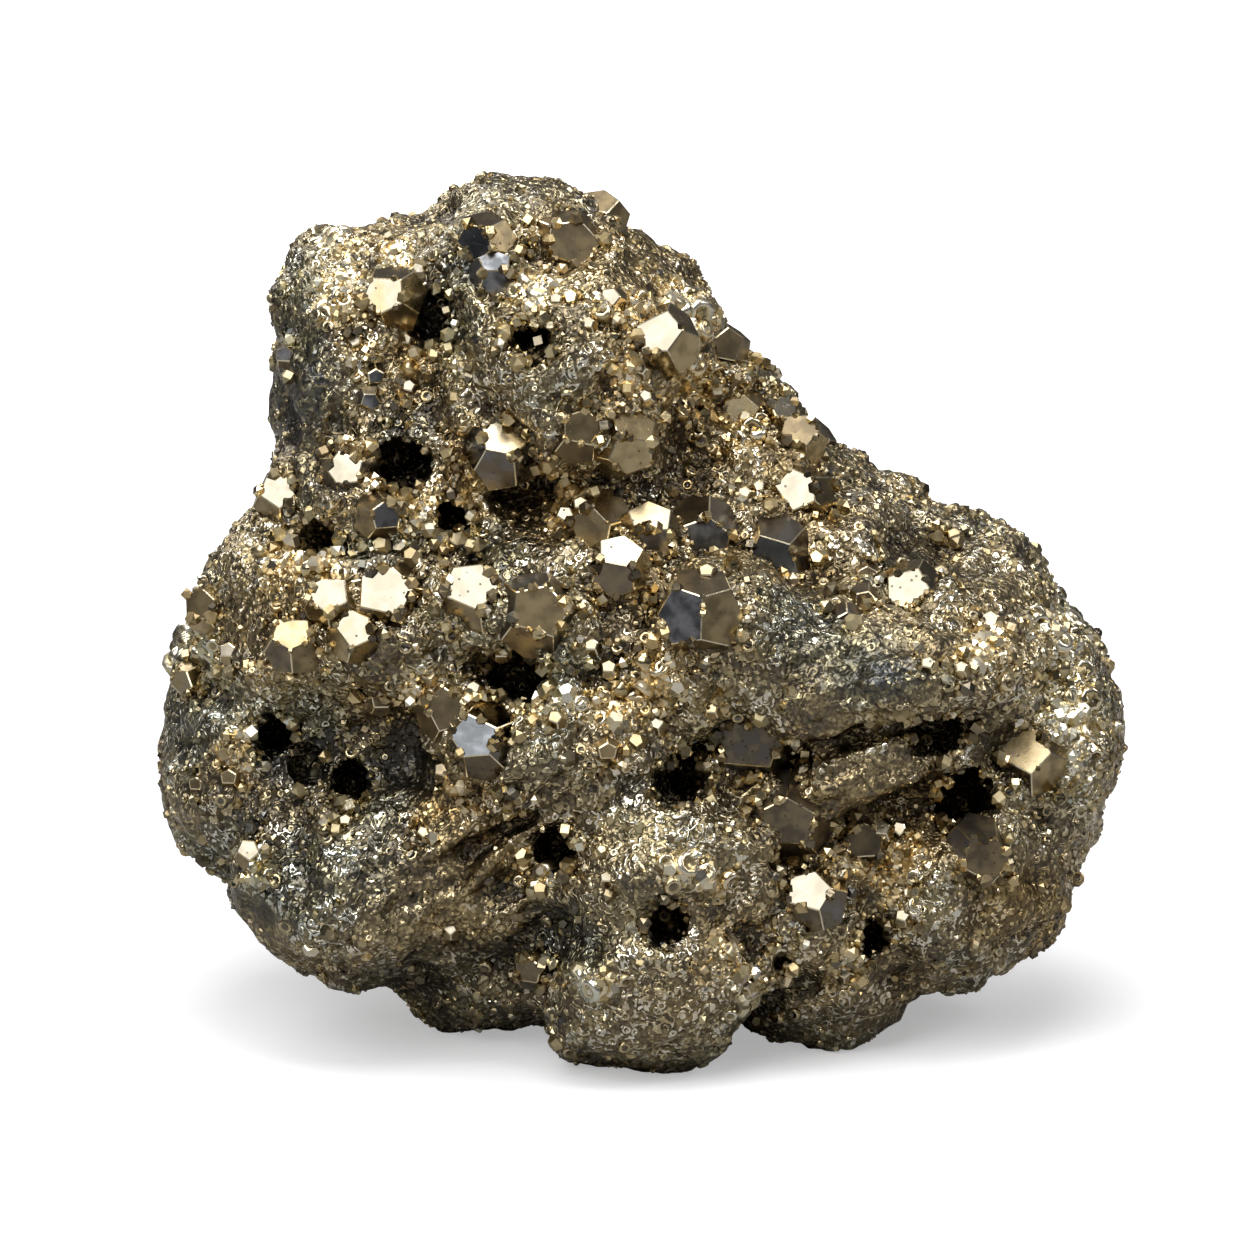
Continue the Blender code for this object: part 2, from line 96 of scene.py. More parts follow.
# Small crystals on the front, not on the solid, set as the large ones are. Their other faces take
# their tone from the leading face's. They stand proud by a share of their size.
SMALL_CRYSTALS = (
    (-2.1, 60.5, 2.6, -12, 28, 20, 1.0, 0.9), (29.1, 33.8, 2.3, -14, 27, 0, 1.0, 0.9),
    (8.8, 44.5, 1.7, -10, 26, 10, 1.0, 0.9), (10.0, 45.0, 1.6, -16, 30, 60, 0.9, 0.9),
    (-21.2, 27.2, 2.6, 5, 12, 0, 0.5, 0.4), (17.1, 34.2, 2.6, 4, -6, 0, 0.05, 0.5),
    (20.3, 16.1, 2.2, -14, 30, 0, 0.9, 0.8), (21.7, 16.2, 1.8, -9, 24, 40, 0.9, 0.8),
    (9.0, 2.8, 1.7, -14, 26, 0, 0.9, 0.8), (17.2, 3.9, 1.8, -12, 24, 30, 0.9, 0.8),
    (22.1, 8.7, 1.8, -14, 28, 15, 0.9, 0.8), (22.6, 10.7, 1.5, -12, 30, 0, 0.9, 0.8),
    (-18.6, 53.3, 1.8, -13, 27, 10, 0.95, 0.9), (-23.0, 57.1, 1.9, -14, 28, 50, 0.9, 0.8),
    (-21.5, 54.4, 2.2, 10, 0, 0, 0.1, 0.5), (-21.9, 52.5, 2.5, 5, -8, 30, 0.1, 0.5),
    (-4.0, 58.5, 1.7, -12, 26, 0, 0.95, 0.9), (-6.6, 60.5, 1.6, -10, 30, 0, 0.9, 0.8),
    (0.4, 54.7, 1.6, -12, 26, 20, 0.95, 0.9), (0.7, 52.5, 1.6, -13, 29, 50, 0.95, 0.9),
    (-29.3, 47.7, 1.6, -16, 26, 0, 0.95, 0.9), (-18.8, 57.2, 1.5, -14, 28, 0, 0.9, 0.8),
    (-17.1, 29.2, 1.9, -12, 30, 20, 0.8, 0.9), (-13.4, 28.1, 1.8, -15, 26, 0, 0.95, 0.9),
    (-16.0, 21.2, 2.0, -15, 22, 10, 0.4, 0.9), (-32.0, 14.2, 2.9, -15, 26, 30, 0.95, 0.9),
    (-24.1, 16.9, 1.6, -13, 28, 0, 0.95, 0.9), (-17.7, 15.9, 1.5, -12, 27, 40, 0.8, 0.9),
    (-9.9, 19.1, 1.6, -14, 29, 0, 0.8, 0.9), (-33.7, 20.7, 2.1, -8, 10, 0, 0.7, 0.6),
    (-36.3, 20.1, 1.9, -20, 12, 0, 0.7, 0.6), (-23.1, 36.8, 2.1, 6, 8, 20, 0.7, 0.6),
    (-11.2, 31.2, 1.8, -4, 20, 0, 0.7, 0.6), (-5.8, 42.6, 2.2, -14, 27, 30, 0.9, 0.9),
    (5.7, 37.9, 1.9, -8, 30, 0, 0.8, 0.8), (-4.6, 43.6, 1.8, -12, 26, 0, 0.9, 0.9),
    (1.6, 25.1, 2.1, -12, 27, 20, 0.95, 0.9), (6.2, 26.4, 1.7, -14, 25, 0, 0.8, 0.8),
    (18.8, 37.6, 2.6, 0, 16, 0, 0.6, 0.5), (18.5, 35.7, 2.8, 8, 4, 20, 0.4, 0.4),
    (24.9, 37.9, 1.7, -6, 26, 0, 0.8, 0.7), (24.0, 30.2, 1.7, -14, 26, 10, 0.95, 0.9),
    (26.7, 29.8, 1.7, -15, 28, 0, 0.95, 0.9), (-2.3, 29.8, 1.9, -10, 30, 0, 0.8, 0.8),
    (-6.7, 25.6, 1.8, -13, 26, 20, 0.8, 0.9), (-2.6, 23.0, 2.4, 6, 4, 0, 0.6, 0.3),
    (-3.7, 31.7, 1.7, -14, 27, 0, 0.9, 0.9), (-15.5, 7.6, 1.8, -13, 27, 30, 0.9, 0.8),
    (-28.5, 56.0, 2.4, -18, 14, 0, 0.2, 0.6), (-2.5, 12.0, 1.6, -12, 28, 0, 0.9, 0.8),
    (-33.5, 31.2, 2.2, -22, 24, 0, 0.9, 0.8), (26.0, 41.0, 1.7, -8, 30, 0, 0.7, 0.7),
)
SMALL_PROUD = 0.22

# Vugs on the front: across, up, radii across, in and up, then lean in degrees. The skin falls
# toward them from a rim beyond their radii.
VUGS = (
    (-8.6, 57.5, 2.4, 5.0, 1.9, 15), (-19.6, 46.8, 2.0, 5.0, 2.0, 40), (-15.0, 42.4, 1.8, 4.6, 1.9, 0),
    (-26.4, 40.4, 1.5, 4.0, 1.7, 0), (-10.1, 28.9, 2.4, 5.0, 2.6, 0), (3.9, 21.1, 1.9, 4.8, 2.2, 0),
    (12.4, 22.2, 1.8, 4.2, 1.4, 0), (-30.3, 24.6, 1.6, 4.0, 1.5, 0), (-27.2, 21.6, 1.2, 3.4, 1.2, 20),
    (-23.8, 19.7, 1.4, 4.0, 2.1, -20), (-6.8, 14.5, 1.3, 3.8, 1.3, 0), (2.5, 8.2, 1.4, 3.6, 1.4, 0),
    (19.3, 7.2, 1.2, 3.6, 1.5, 0), (12.0, 4.6, 0.9, 3.0, 1.0, 0), (27.2, 18.8, 1.8, 5.0, 2.5, 20),
    (24.8, 24.4, 2.6, 5.0, 1.1, -6), (-16.6, 58.8, 1.0, 4.0, 2.7, 8), (-7.2, 45.6, 0.9, 3.0, 0.9, 0),
    (-13.0, 19.7, 1.1, 3.2, 1.0, 0), (15.2, 43.2, 0.6, 2.4, 0.5, 0),
)
VUG_LOBES = 5
VUG_RIM = 1.2

# Patches of the front: across, up, half width and half height.
GOLDEN_PATCHES = (
    (-24.2, 61.8, 1.8, 1.8), (-24.8, 65.6, 1.6, 1.2), (-22.5, 57.3, 1.8, 1.4), (-18.8, 53.5, 1.2, 1.8),
    (-23.2, 47.0, 1.4, 1.4), (-18.0, 42.3, 2.0, 1.8), (-28.0, 39.4, 2.4, 2.4), (-12.8, 46.5, 1.4, 2.6),
    (-5.2, 43.4, 1.8, 1.6), (-17.5, 28.4, 2.2, 1.6), (-12.8, 28.2, 1.2, 1.2), (-6.2, 26.4, 2.2, 1.8),
    (-32.8, 23.2, 1.2, 2.4), (0.6, 27.6, 3.6, 3.0), (8.4, 49.2, 2.2, 2.4), (6.6, 53.8, 1.8, 2.0),
    (0.4, 54.2, 1.2, 2.6), (9.2, 44.9, 1.4, 1.2), (4.8, 60.4, 2.2, 2.6), (-2.2, 60.6, 2.2, 1.6),
    (13.8, 38.2, 1.4, 1.4), (29.0, 31.0, 2.2, 2.4), (35.2, 28.0, 2.2, 7.0), (22.2, 9.6, 1.4, 2.2),
    (8.8, 2.8, 1.4, 1.2), (17.4, 3.8, 1.4, 1.2), (7.6, 7.2, 1.2, 1.8), (-2.6, 2.8, 1.8, 1.4),
    (-8.2, 12.2, 1.4, 1.0), (-31.6, 13.6, 1.8, 1.6), (-8.0, 61.6, 1.6, 1.4), (19.6, 14.0, 3.4, 1.8),
    (-15.2, 56.0, 1.2, 1.2), (4.6, 13.0, 2.2, 2.0), (-19.0, 64.2, 1.2, 1.4), (-36.0, 32.0, 1.4, 4.0),
)
GREY_PATCHES = (
    (-28.0, 53.0, 3.6, 7.0), (-15.6, 59.0, 1.6, 4.6), (-13.0, 64.0, 3.4, 2.2), (-18.4, 50.0, 3.0, 2.4),
    (-12.0, 39.6, 2.6, 1.4), (-29.0, 22.4, 4.6, 4.4), (-5.2, 30.2, 3.4, 2.0), (13.6, 34.0, 2.6, 3.0),
    (-21.0, 40.4, 2.4, 1.8), (-22.0, 19.0, 3.0, 3.0), (-7.0, 7.0, 3.0, 2.6), (19.0, 30.4, 3.8, 2.8),
    (-28.5, 13.0, 5.0, 4.0), (-35.6, 26.0, 2.6, 6.0), (-33.6, 17.0, 2.6, 3.6),
)
SMOOTH_PATCHES = (
    (20.0, 29.6, 6.5, 3.4), (-15.5, 11.6, 6.4, 4.4), (12.6, 17.4, 3.4, 2.4), (18.6, 20.6, 4.6, 1.8),
    (-27.6, 52.0, 2.6, 5.0), (-20.0, 31.0, 3.0, 1.8), (28.6, 13.0, 4.2, 2.6), (2.0, 11.0, 2.6, 2.0),
    (-18.4, 21.6, 2.6, 2.6), (16.0, 26.0, 3.0, 2.0), (-33.0, 8.0, 3.0, 2.0),
)
STAINED_PATCHES = (
    (-2.4, 23.0, 2.0, 1.8), (-0.4, 26.6, 2.6, 1.6), (5.0, 50.0, 3.0, 5.0), (7.6, 56.6, 2.0, 1.6),
    (-27.8, 38.6, 2.4, 3.0), (-18.6, 55.0, 2.0, 1.4), (-20.8, 27.2, 2.6, 1.8), (-33.0, 22.0, 1.8, 3.2),
    (-23.6, 59.0, 2.2, 2.0), (22.0, 33.0, 3.0, 2.6), (26.4, 18.0, 3.0, 3.0), (-14.4, 48.0, 1.4, 2.6),
    (21.6, 14.4, 4.0, 1.8), (-17.0, 17.6, 2.4, 1.6), (13.8, 37.8, 1.6, 1.4), (30.6, 10.0, 4.0, 3.6),
)

# Shallow hollows of the front: across, up, half width, half height and depth. They fade out at a
# little more than their half width and height, and their depth darkens the colour as painted shade.
DENTS = (
    (4.8, 49.6, 3.2, 5.4, 1.7), (7.4, 56.2, 1.8, 2.0, 0.9), (-10.2, 29.6, 3.6, 3.2, 0.9),
    (-28.6, 22.8, 4.0, 3.4, 0.8), (25.6, 17.6, 3.6, 2.8, 1.0), (-20.0, 47.0, 3.0, 2.8, 0.8),
    (19.8, 8.0, 2.4, 3.0, 0.6), (-17.0, 59.6, 1.4, 3.0, 0.7), (1.0, 20.0, 4.2, 2.2, 0.7),
    (30.4, 23.6, 3.0, 3.2, 1.1),
)
DENT_EDGE = 1.3

# Ridged patches of the front: across, up, half length, half width, and the ridges' slope.
FLOW_PATCHES = (
    (-14.0, 14.0, 11.0, 6.0, 32), (15.0, 21.0, 12.0, 3.5, 18), (20.0, 30.0, 9.0, 4.0, 12),
    (-24.0, 50.0, 5.0, 7.0, 70), (4.0, 30.0, 4.0, 6.0, 60),
)

# Corners of the grains: a cube, an octahedron, and a cube cut to the middles of its edges.
CUBE = list(itertools.product((-0.5, 0.5), repeat=3))
OCTAHEDRON = np.concatenate([np.eye(3), -np.eye(3)]) * 0.6
CUT_CUBE = [c for c in itertools.product((-0.42, 0, 0.42), repeat=3) if c.count(0) == 1]

# Crusts of single grains: name, corners, how many are tried, smallest and largest size, and seed.
CRUSTS = (
    ("cube_grains", CUBE, 3500, 0.25, 0.8, 101),
    ("pointed_grains", OCTAHEDRON, 12000, 0.25, 0.8, 102),
    ("cut_grains", CUT_CUBE, 6500, 0.3, 1.1, 103),
)

# Colours. The ramps go by tone (0 slate to 1 cream gold), by tint (0 slate blue, 0.5 none, 1 iron
# brown) and, for the room, from straight down to straight up.
TARNISH_COLOURS = (
    (0.0, (0.152, 0.143, 0.127)), (0.28, (0.275, 0.222, 0.142)), (0.5, (0.51, 0.405, 0.22)),
    (0.75, (0.82, 0.67, 0.39)), (1.0, (1.0, 0.92, 0.74)),
)
STAIN_COLOURS = ((0.0, (0.8, 0.9, 1.0)), (0.5, (1.0, 1.0, 1.0)), (1.0, (1.0, 0.89, 0.69)))
FACE_COLOURS = (
    (0.0, (0.13, 0.137, 0.145)), (0.12, (0.33, 0.33, 0.345)), (0.25, (0.2, 0.17, 0.13)),
    (0.5, (0.37, 0.285, 0.16)), (0.72, (0.6, 0.47, 0.26)), (0.84, (0.36, 0.325, 0.25)),
)
ROOM_COLOURS = (
    (0.0, (0.05, 0.05, 0.055)), (0.25, (0.09, 0.09, 0.095)), (0.6, (0.22, 0.22, 0.225)),
    (1.0, (0.4, 0.4, 0.4)),
)
# VUG_SHADOW is painted shade, for the hollows, the valleys between crests and the facets' edges.
VUG_SHADOW = (0.035, 0.028, 0.02, 1)
FACE_GRIME = (0.02, 0.016, 0.012, 1)
WHITE = (1, 1, 1, 1)

# Studio: the camera in metres and degrees, and the softboxes, each a name, azimuth, rise, distance,
# width, height and brightness.
TARGET = Vector((-0.9, -3.0, 33.4)) * MM
CAMERA_DISTANCE = 0.52
CAMERA_RISE = 12
LENS = 181.4
SENSOR = 36
SOFTBOXES = (
    ("overhead", -10, 80, 0.75, 0.5, 0.42, 4.8),
    ("front_left", -30, 42, 0.75, 0.58, 0.46, 3.35),
    ("right", 78, 38, 0.7, 0.26, 0.26, 4.3),
    ("back_left", 215, 35, 0.7, 0.3, 0.3, 4.0),
)


# ---- patterns in space. Each takes places in millimetres, and a seed that picks the pattern.

def lattice_random(cells, seed):
    """A fixed number from 0 to 1 for each whole-number lattice cell, from its mixed-up digits."""
    mixed = cells[..., 0] * 73856093 ^ cells[..., 1] * 19349663 ^ cells[..., 2] * 83492791
    mixed = (mixed ^ seed * 2654435761) & 0xFFFFFFFF
    for factor, shift in ((2246822519, 15), (3266489917, 13)):
        mixed = ((mixed ^ mixed >> shift) * factor) & 0xFFFFFFFF
    return ((mixed ^ mixed >> 16) & 0xFFFFFF) / 0xFFFFFF


def soft_noise(points, spacing, seed):
    """-1 to 1: a lattice's random corner numbers, blended along each axis by t*t*(3 - 2t)."""
    lattice = points / spacing
    base = np.floor(lattice).astype(np.int64)
    t = lattice - base
    t = t * t * (3 - 2 * t)
    total = np.zeros(len(points))
    for corner in itertools.product((0, 1), repeat=3):
        share = np.prod(np.where(np.array(corner, bool), t, 1 - t), axis=1)
        total += share * lattice_random(base + np.array(corner), seed)
    return total * 2 - 1


def cell_noise(points, spacing, seed):
    """Distance to the nearest of points scattered one to a lattice cell, in cell widths, and that
    point's own random number."""
    lattice = points / spacing
    base = np.floor(lattice).astype(np.int64)
    nearest = np.full(len(points), np.inf)
    own = np.zeros(len(points))
    for step in itertools.product((-1, 0, 1), repeat=3):
        cell = base + np.array(step)
        seeds = np.stack([lattice_random(cell, seed + k) for k in (1, 2, 3)], axis=1)
        away = np.linalg.norm(cell + seeds - lattice, axis=1)
        closer = away < nearest
        own = np.where(closer, lattice_random(cell, seed + 4), own)
        nearest = np.where(closer, away, nearest)
    return nearest, own


def on_sight_plane(points, bend=0, spacing=1, seeds=()):
    """Where the sight line to each point crosses the sight plane, as (across, up), and bent from
    there by soft noise."""
    share = (SIGHT_PLANE - VIEWPOINT[1]) / (points[:, 1] - VIEWPOINT[1])
    seen = VIEWPOINT[[0, 2]] + (points[:, [0, 2]] - VIEWPOINT[[0, 2]]) * share[:, None]
    if not bend:
        return seen
    return seen + bend * np.stack([soft_noise(points, spacing, seed) for seed in seeds], axis=1)


def radii_away(seen, across, up, wide, high):
    """Distance from an ellipse's middle, in its own radii."""
    return np.hypot((seen[:, 0] - across) / wide, (seen[:, 1] - up) / high)


def patches(points, facing_front, places, seed):
    """0 to 1: soft-edged ellipses on the front, and scattered patches of soft noise behind."""
    seen = on_sight_plane(points, 1.6, 4.0, (seed, seed + 9))
    most = np.zeros(len(points))
    for place in places:
        most = np.maximum(most, np.clip(1.6 - radii_away(seen, *place), 0, 1))
    scattered = np.clip(soft_noise(points, 13.0, seed + 5) * 2.2 - 0.3, 0, 1)
    return most * facing_front + scattered * (1 - facing_front)


# ---- crystals

def pyritohedron():
    """Corners (+-1, +-1, +-1) and the three turns of (0, +-1.5, +-0.75), times the half edge, and
    for each of the twelve faces its outward normal and its corners in order round that normal."""
    long_step = 1 + TRUNCATION
    short_step = 1 - TRUNCATION ** 2
    corners = list(itertools.product((-1, 1), repeat=3))
    for a, b in itertools.product((-long_step, long_step), (-short_step, short_step)):
        corners += [(0, a, b), (a, b, 0), (b, 0, a)]
    corners = np.array(corners, float) * HALF_EDGE
    normals = []
    for a, b in itertools.product((-1, 1), (-TRUNCATION, TRUNCATION)):
        normals += [(0, b, a), (b, a, 0), (a, 0, b)]
    normals = np.array(normals, float)
    normals /= np.linalg.norm(normals, axis=1)[:, None]
    faces = []
    for normal in normals:
        reach = corners @ normal
        members = np.flatnonzero(reach > reach.max() - 1e-6)
        spokes = corners[members] - corners[members].mean(axis=0)
        other = np.cross(normal, spokes[0])
        faces.append(members[np.argsort(np.arctan2(spokes @ other, spokes @ spokes[0]))])
    return corners, normals, faces


CORNERS, FACE_NORMALS, FACES = pyritohedron()
FACE_REACH = float((CORNERS @ FACE_NORMALS[0]).max())
LEADING_FACE = int((FACE_NORMALS @ (0, 1, 2)).argmax())


def leading_face_turn(right, up, spin):
    """Turns one face to look forward (-y), spins it, then swings it upward and to the right."""
    turn = Vector((0, 1, 2)).normalized().rotation_difference(Vector((0, -1, 0))).to_matrix()
    for degrees, axis in ((spin, "Y"), (-up, "X"), (right, "Z")):
        turn = Matrix.Rotation(math.radians(degrees), 3, axis) @ turn
    return np.array(turn)


def direction(azimuth, rise):
    """Unit vector from the middle: azimuth 0 is to the front and 90 to the right."""
    a, e = math.radians(azimuth), math.radians(rise)
    return np.array((math.sin(a) * math.cos(e), -math.cos(a) * math.cos(e), math.sin(e)))


def side_tone(tone):
    """Tone of a crystal's other faces, from its leading face's: nearer to tan."""
    return 0.35 + 0.3 * tone


def sight_line(across, up):
    """Unit vector from the viewpoint to a place on the sight plane."""
    toward = np.array((across, SIGHT_PLANE, up)) - VIEWPOINT
    return toward / np.linalg.norm(toward)


def first_hit(solid, start, toward):
    return np.array(solid.ray_cast(Vector(start * MM), Vector(toward))[0]) / MM


def crystal_middle(solid, start, toward, size, turn):
    """The ray first meets the crystal's own hull, so its middle lies further in by the hull's reach
    along the ray: the least of face reach / cosine over the faces that look back at the start."""
    cosines = (FACE_NORMALS @ turn.T) @ -toward
    reach = (FACE_REACH * size / cosines[cosines > 0.05]).min()
    return first_hit(solid, start, toward) + toward * reach


def placed_crystals(solid, table, proud=0.0):
    """The crystals of a table as (middle, size, turn, leading tone, polish, side tone), each moved
    out along its sight line by a share of its size."""
    crystals = []
    for across, up, size, right, raised, spin, tone, polish, *side in table:
        toward = sight_line(across, up)
        turn = leading_face_turn(right, raised, spin)
        middle = crystal_middle(solid, VIEWPOINT, toward, size, turn) - toward * (proud * size)
        crystals.append((middle, size, turn, tone, polish, side[0] if side else side_tone(tone)))
    return crystals


def crystals_behind(solid):
    """The solid's crystals on the sides, top and back, spread by the golden ratio."""
    crystals = []
    chance = random.Random(7)
    for number in range(BACK_CRYSTALS):
        outward = direction(
            102 + 156 * ((BACK_START + number * GOLDEN_RATIO) % 1),
            -22 + 100 * (number + 0.5) / BACK_CRYSTALS)
        size = chance.uniform(3.4, 5.6)
        turn = np.array(Euler([chance.uniform(0, math.tau) for _ in range(3)]).to_matrix())
        middle = crystal_middle(solid, MIDDLE + outward * FAR_OUTSIDE, -outward, size, turn)
        tone = chance.random()
        crystals.append((middle, size, turn, tone, chance.random(), side_tone(tone)))
    return crystals


def on_front(crystals):
    return [crystal for crystal in crystals if crystal[0][1] < 0]


# ---- meshes from arrays

def linked(name, data):
    made = bpy.data.objects.new(name, data)
    bpy.context.scene.collection.objects.link(made)
    return made


def keep_numbers(mesh, domain, **values):
    """Keeps named arrays on a mesh's points or faces, where the finishes read them."""
    for key, numbers in values.items():
        mesh.attributes.new(key, "FLOAT", domain).data.foreach_set(
            "value", np.clip(numbers, 0, 1).astype(np.float32).ravel())


def shade_smooth(mesh):
    mesh.polygons.foreach_set("use_smooth", np.ones(len(mesh.polygons), bool))


def piece_from(name, points, faces, material, **values):
    """A piece from points in millimetres and faces, with named arrays kept on its points."""
    mesh = bpy.data.meshes.new(name)
    mesh.from_pydata(points * MM, [], faces)
    keep_numbers(mesh, "POINT", **values)
    mesh.materials.append(material)
    piece = linked(name, mesh)
    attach(piece, "root")
    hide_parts(NODE)
    return piece


def repeated(shape, places, turns, sizes):
    """A closed shape set at every place: points place + size * turn . corner, faces shifted."""
    corners, faces = shape
    points = np.einsum("nij,cj->nci", turns, corners) * sizes[:, None, None] + places[:, None, :]
    shifts = np.arange(len(places)) * len(corners)
    moved = [(np.asarray(face)[None, :] + shifts[:, None]).tolist() for face in faces]
    return points.reshape(-1, 3), [face for copy in zip(*moved) for face in copy]


def grains_piece(name, shape, places, turns, sizes, material, **looks):
    """A piece of many closed grains of one shape. Each look is a number for each grain, or a row
    with one for each of its corners."""
    points, faces = repeated(shape, places, turns, sizes)
    ones = np.ones(len(shape[0]))
    values = {key: look.reshape(len(places), -1) * ones for key, look in looks.items()}
    return piece_from(name, points, faces, material, **values)


def random_turns(chance, count):
    """Even random rotations, from unit quaternions (w, v): the matrix (2ww - 1) + 2vv + 2w(v x)."""
    quaternions = chance.normal(size=(4, count))
    quaternions /= np.linalg.norm(quaternions, axis=0)
    w, v = quaternions[0][:, None, None], quaternions[1:].T
    squares = (2 * w * w - 1) * np.eye(3) + 2 * v[:, :, None] * v[:, None, :]
    return squares + 2 * w * np.cross(np.eye(3), v[:, None, :])


def turns_along(normals, lean, chance):
    """Rotations that carry +z to each normal, leant at random, with a random spin round it."""
    z = normals + lean * chance.normal(size=normals.shape)
    z /= np.linalg.norm(z, axis=1)[:, None]
    x = np.cross(z, chance.normal(size=z.shape))
    x /= np.linalg.norm(x, axis=1)[:, None]
    return np.stack([x, np.cross(z, x), z], axis=2)


def numbers_of(collection, key, width, kind=np.float32):
    values = np.empty(len(collection) * width, kind)
    collection.foreach_get(key, values)
    return values.reshape(-1, width)


def arrays_of(mesh, sides):
    """A mesh's points, and its faces, which all have the same number of sides."""
    corners = numbers_of(mesh.loops, "vertex_index", 1, np.int32)
    return numbers_of(mesh.vertices, "co", 3).astype(float), corners.reshape(-1, sides)


def mesh_of(shape, name):
    mesh = bpy.data.meshes.new(name)
    shape.to_mesh(mesh)
    shape.free()
    return mesh


# ---- the skin

def merged_solid():
    """The solid's mesh with its loose triangles joined up."""
    shape = bmesh.new()
    shape.from_mesh(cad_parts[NODE].data)
    bmesh.ops.remove_doubles(shape, verts=shape.verts, dist=1e-7)
    return mesh_of(shape, "merged")


def vug_cutters(solid):
    """One mesh of stretched, uneven spheres: a large one where each vug opens, and smaller ones set
    round it at about the golden angle, each smaller and further out than the one before. A point
    is middle + lean . (radii * sphere point) * swell, the swell being 1 + soft noise."""
    shape = bmesh.new()
    bmesh.ops.create_icosphere(shape, subdivisions=3, radius=1)
    sphere, faces = arrays_of(mesh_of(shape, "sphere"), 3)
    points = []
    for number, (across, up, wide, deep, high, lean) in enumerate(VUGS):
        leant = np.array(Matrix.Rotation(math.radians(lean), 3, "Y"))
        for lobe in range(VUG_LOBES):
            turn = number * 1.7 + lobe * 2.4
            shift, share, depth = 0, 0.76, 1
            if lobe:
                shift, share, depth = 0.58 + 0.1 * lobe, 0.62 - 0.08 * lobe, 0.6
            middle = first_hit(solid, VIEWPOINT, sight_line(
                across + shift * wide * math.cos(turn), up + shift * high * math.sin(turn)))
            spokes = sphere * (wide * share, deep * depth, high * share) @ leant.T
            swell = 1 + 0.32 * soft_noise(middle + spokes, 1.2, 71)
            swell += 0.14 * soft_noise(middle + spokes, 0.6, 72)
            points.append(middle + spokes * swell[:, None])
    shifts = np.arange(len(points))[:, None, None] * len(sphere)
    mesh = bpy.data.meshes.new("vugs")
    mesh.from_pydata(np.concatenate(points) * MM, [], (faces + shifts).reshape(-1, 3).tolist())
    return mesh


def bare_skin(solid):
    """Points, faces and outward normals of the pitted solid, knitted again at a fine grain."""
    body = linked("body", merged_solid())
    cutters = linked("cutters", vug_cutters(solid))
    pit = body.modifiers.new("pit", "BOOLEAN")
    pit.operation = "DIFFERENCE"
    pit.object = cutters
    pit.solver = "EXACT"
    pit.use_self = True
    knit = body.modifiers.new("knit", "REMESH")
    knit.mode = "VOXEL"
    knit.voxel_size = SKIN_VOXEL * MM
    body.modifiers.new("soften", "SMOOTH").iterations = SKIN_SMOOTHING
    mesh = bpy.data.meshes.new_from_object(body.evaluated_get(bpy.context.evaluated_depsgraph_get()))
    points, faces = arrays_of(mesh, 4)
    normals = numbers_of(mesh.vertex_normals, "vector", 3).astype(float)
    for old in (body, cutters):
        bpy.data.objects.remove(old)
    return points / MM, faces, normals


def heights_over_faces(points, crystal, extra):
    """The points within 0.75 of a crystal's size, and an extra, of its middle, and each one's height
    over the planes of its faces."""
    middle, size, turn, *_ = crystal
    near = np.flatnonzero(np.linalg.norm(points - middle, axis=1) < size * 0.75 + extra)
    return near, (points[near] - middle) @ (FACE_NORMALS @ turn.T).T - FACE_REACH * size


def height_over_crystals(points, crystals):
    """Height of each point over the face planes of the nearest crystal, negative inside one."""
    height = np.full(len(points), 9.0)
    for crystal in crystals:
        near, over = heights_over_faces(points, crystal, 1)
        height[near] = np.minimum(height[near], over.max(axis=1))
    return height


def drawn_under_crystals(points, bare, crystals):
    """Points now or at first on or in a crystal's hull move toward its middle until they are clear
    below its faces: scaled by (reach - clearance) / (reach + height over the nearest face)."""
    for middle, size, turn, *_ in crystals:
        reach = FACE_REACH * size
        near = np.flatnonzero(np.linalg.norm(bare - middle, axis=1) < size * 0.8)
        planes = (FACE_NORMALS @ turn.T).T
        spokes = points[near] - middle
        height = (spokes @ planes).max(axis=1)
        at_first = ((bare[near] - middle) @ planes).max(axis=1)
        shrink = (reach - CRYSTAL_CLEARANCE) / np.maximum(height, 0.1)
        inside = np.minimum(height, at_first - 0.1) < reach + 0.15
        points[near] = middle + spokes * np.where(inside, np.minimum(shrink, 1), 1)[:, None]
    return points


def creep_round_crystals(points, crystals):
    """Height to add round each crystal, up to 1.3 mm from its hull, so that the skin meets its
    sides just behind the plane of its leading face: the room left under that plane, held between
    -0.5 and 0.5 mm, times the nearness to the hull."""
    creep = np.zeros(len(points))
    for crystal in crystals:
        near, planes = heights_over_faces(points, crystal, 1.3)
        over = planes.max(axis=1)
        room = np.clip(-0.45 - planes[:, LEADING_FACE], -0.5, 0.5)
        creep[near] += room * np.where(over > 0.2, np.clip(1.3 - over, 0, 1), 0)
    return np.clip(creep, -0.6, 0.6)


def bowls(points, front, places, *bend):
    """Depth of round hollows on the front: depth * (1 - d*d) squared, d in radii from a middle."""
    seen = on_sight_plane(points, *bend)
    depth = np.zeros(len(points))
    for across, up, wide, high, deep in places:
        away = radii_away(seen, across, up, wide, high)
        depth = np.maximum(depth, deep * np.clip(1 - away ** 2, 0, 1) ** 2)
    return depth * front


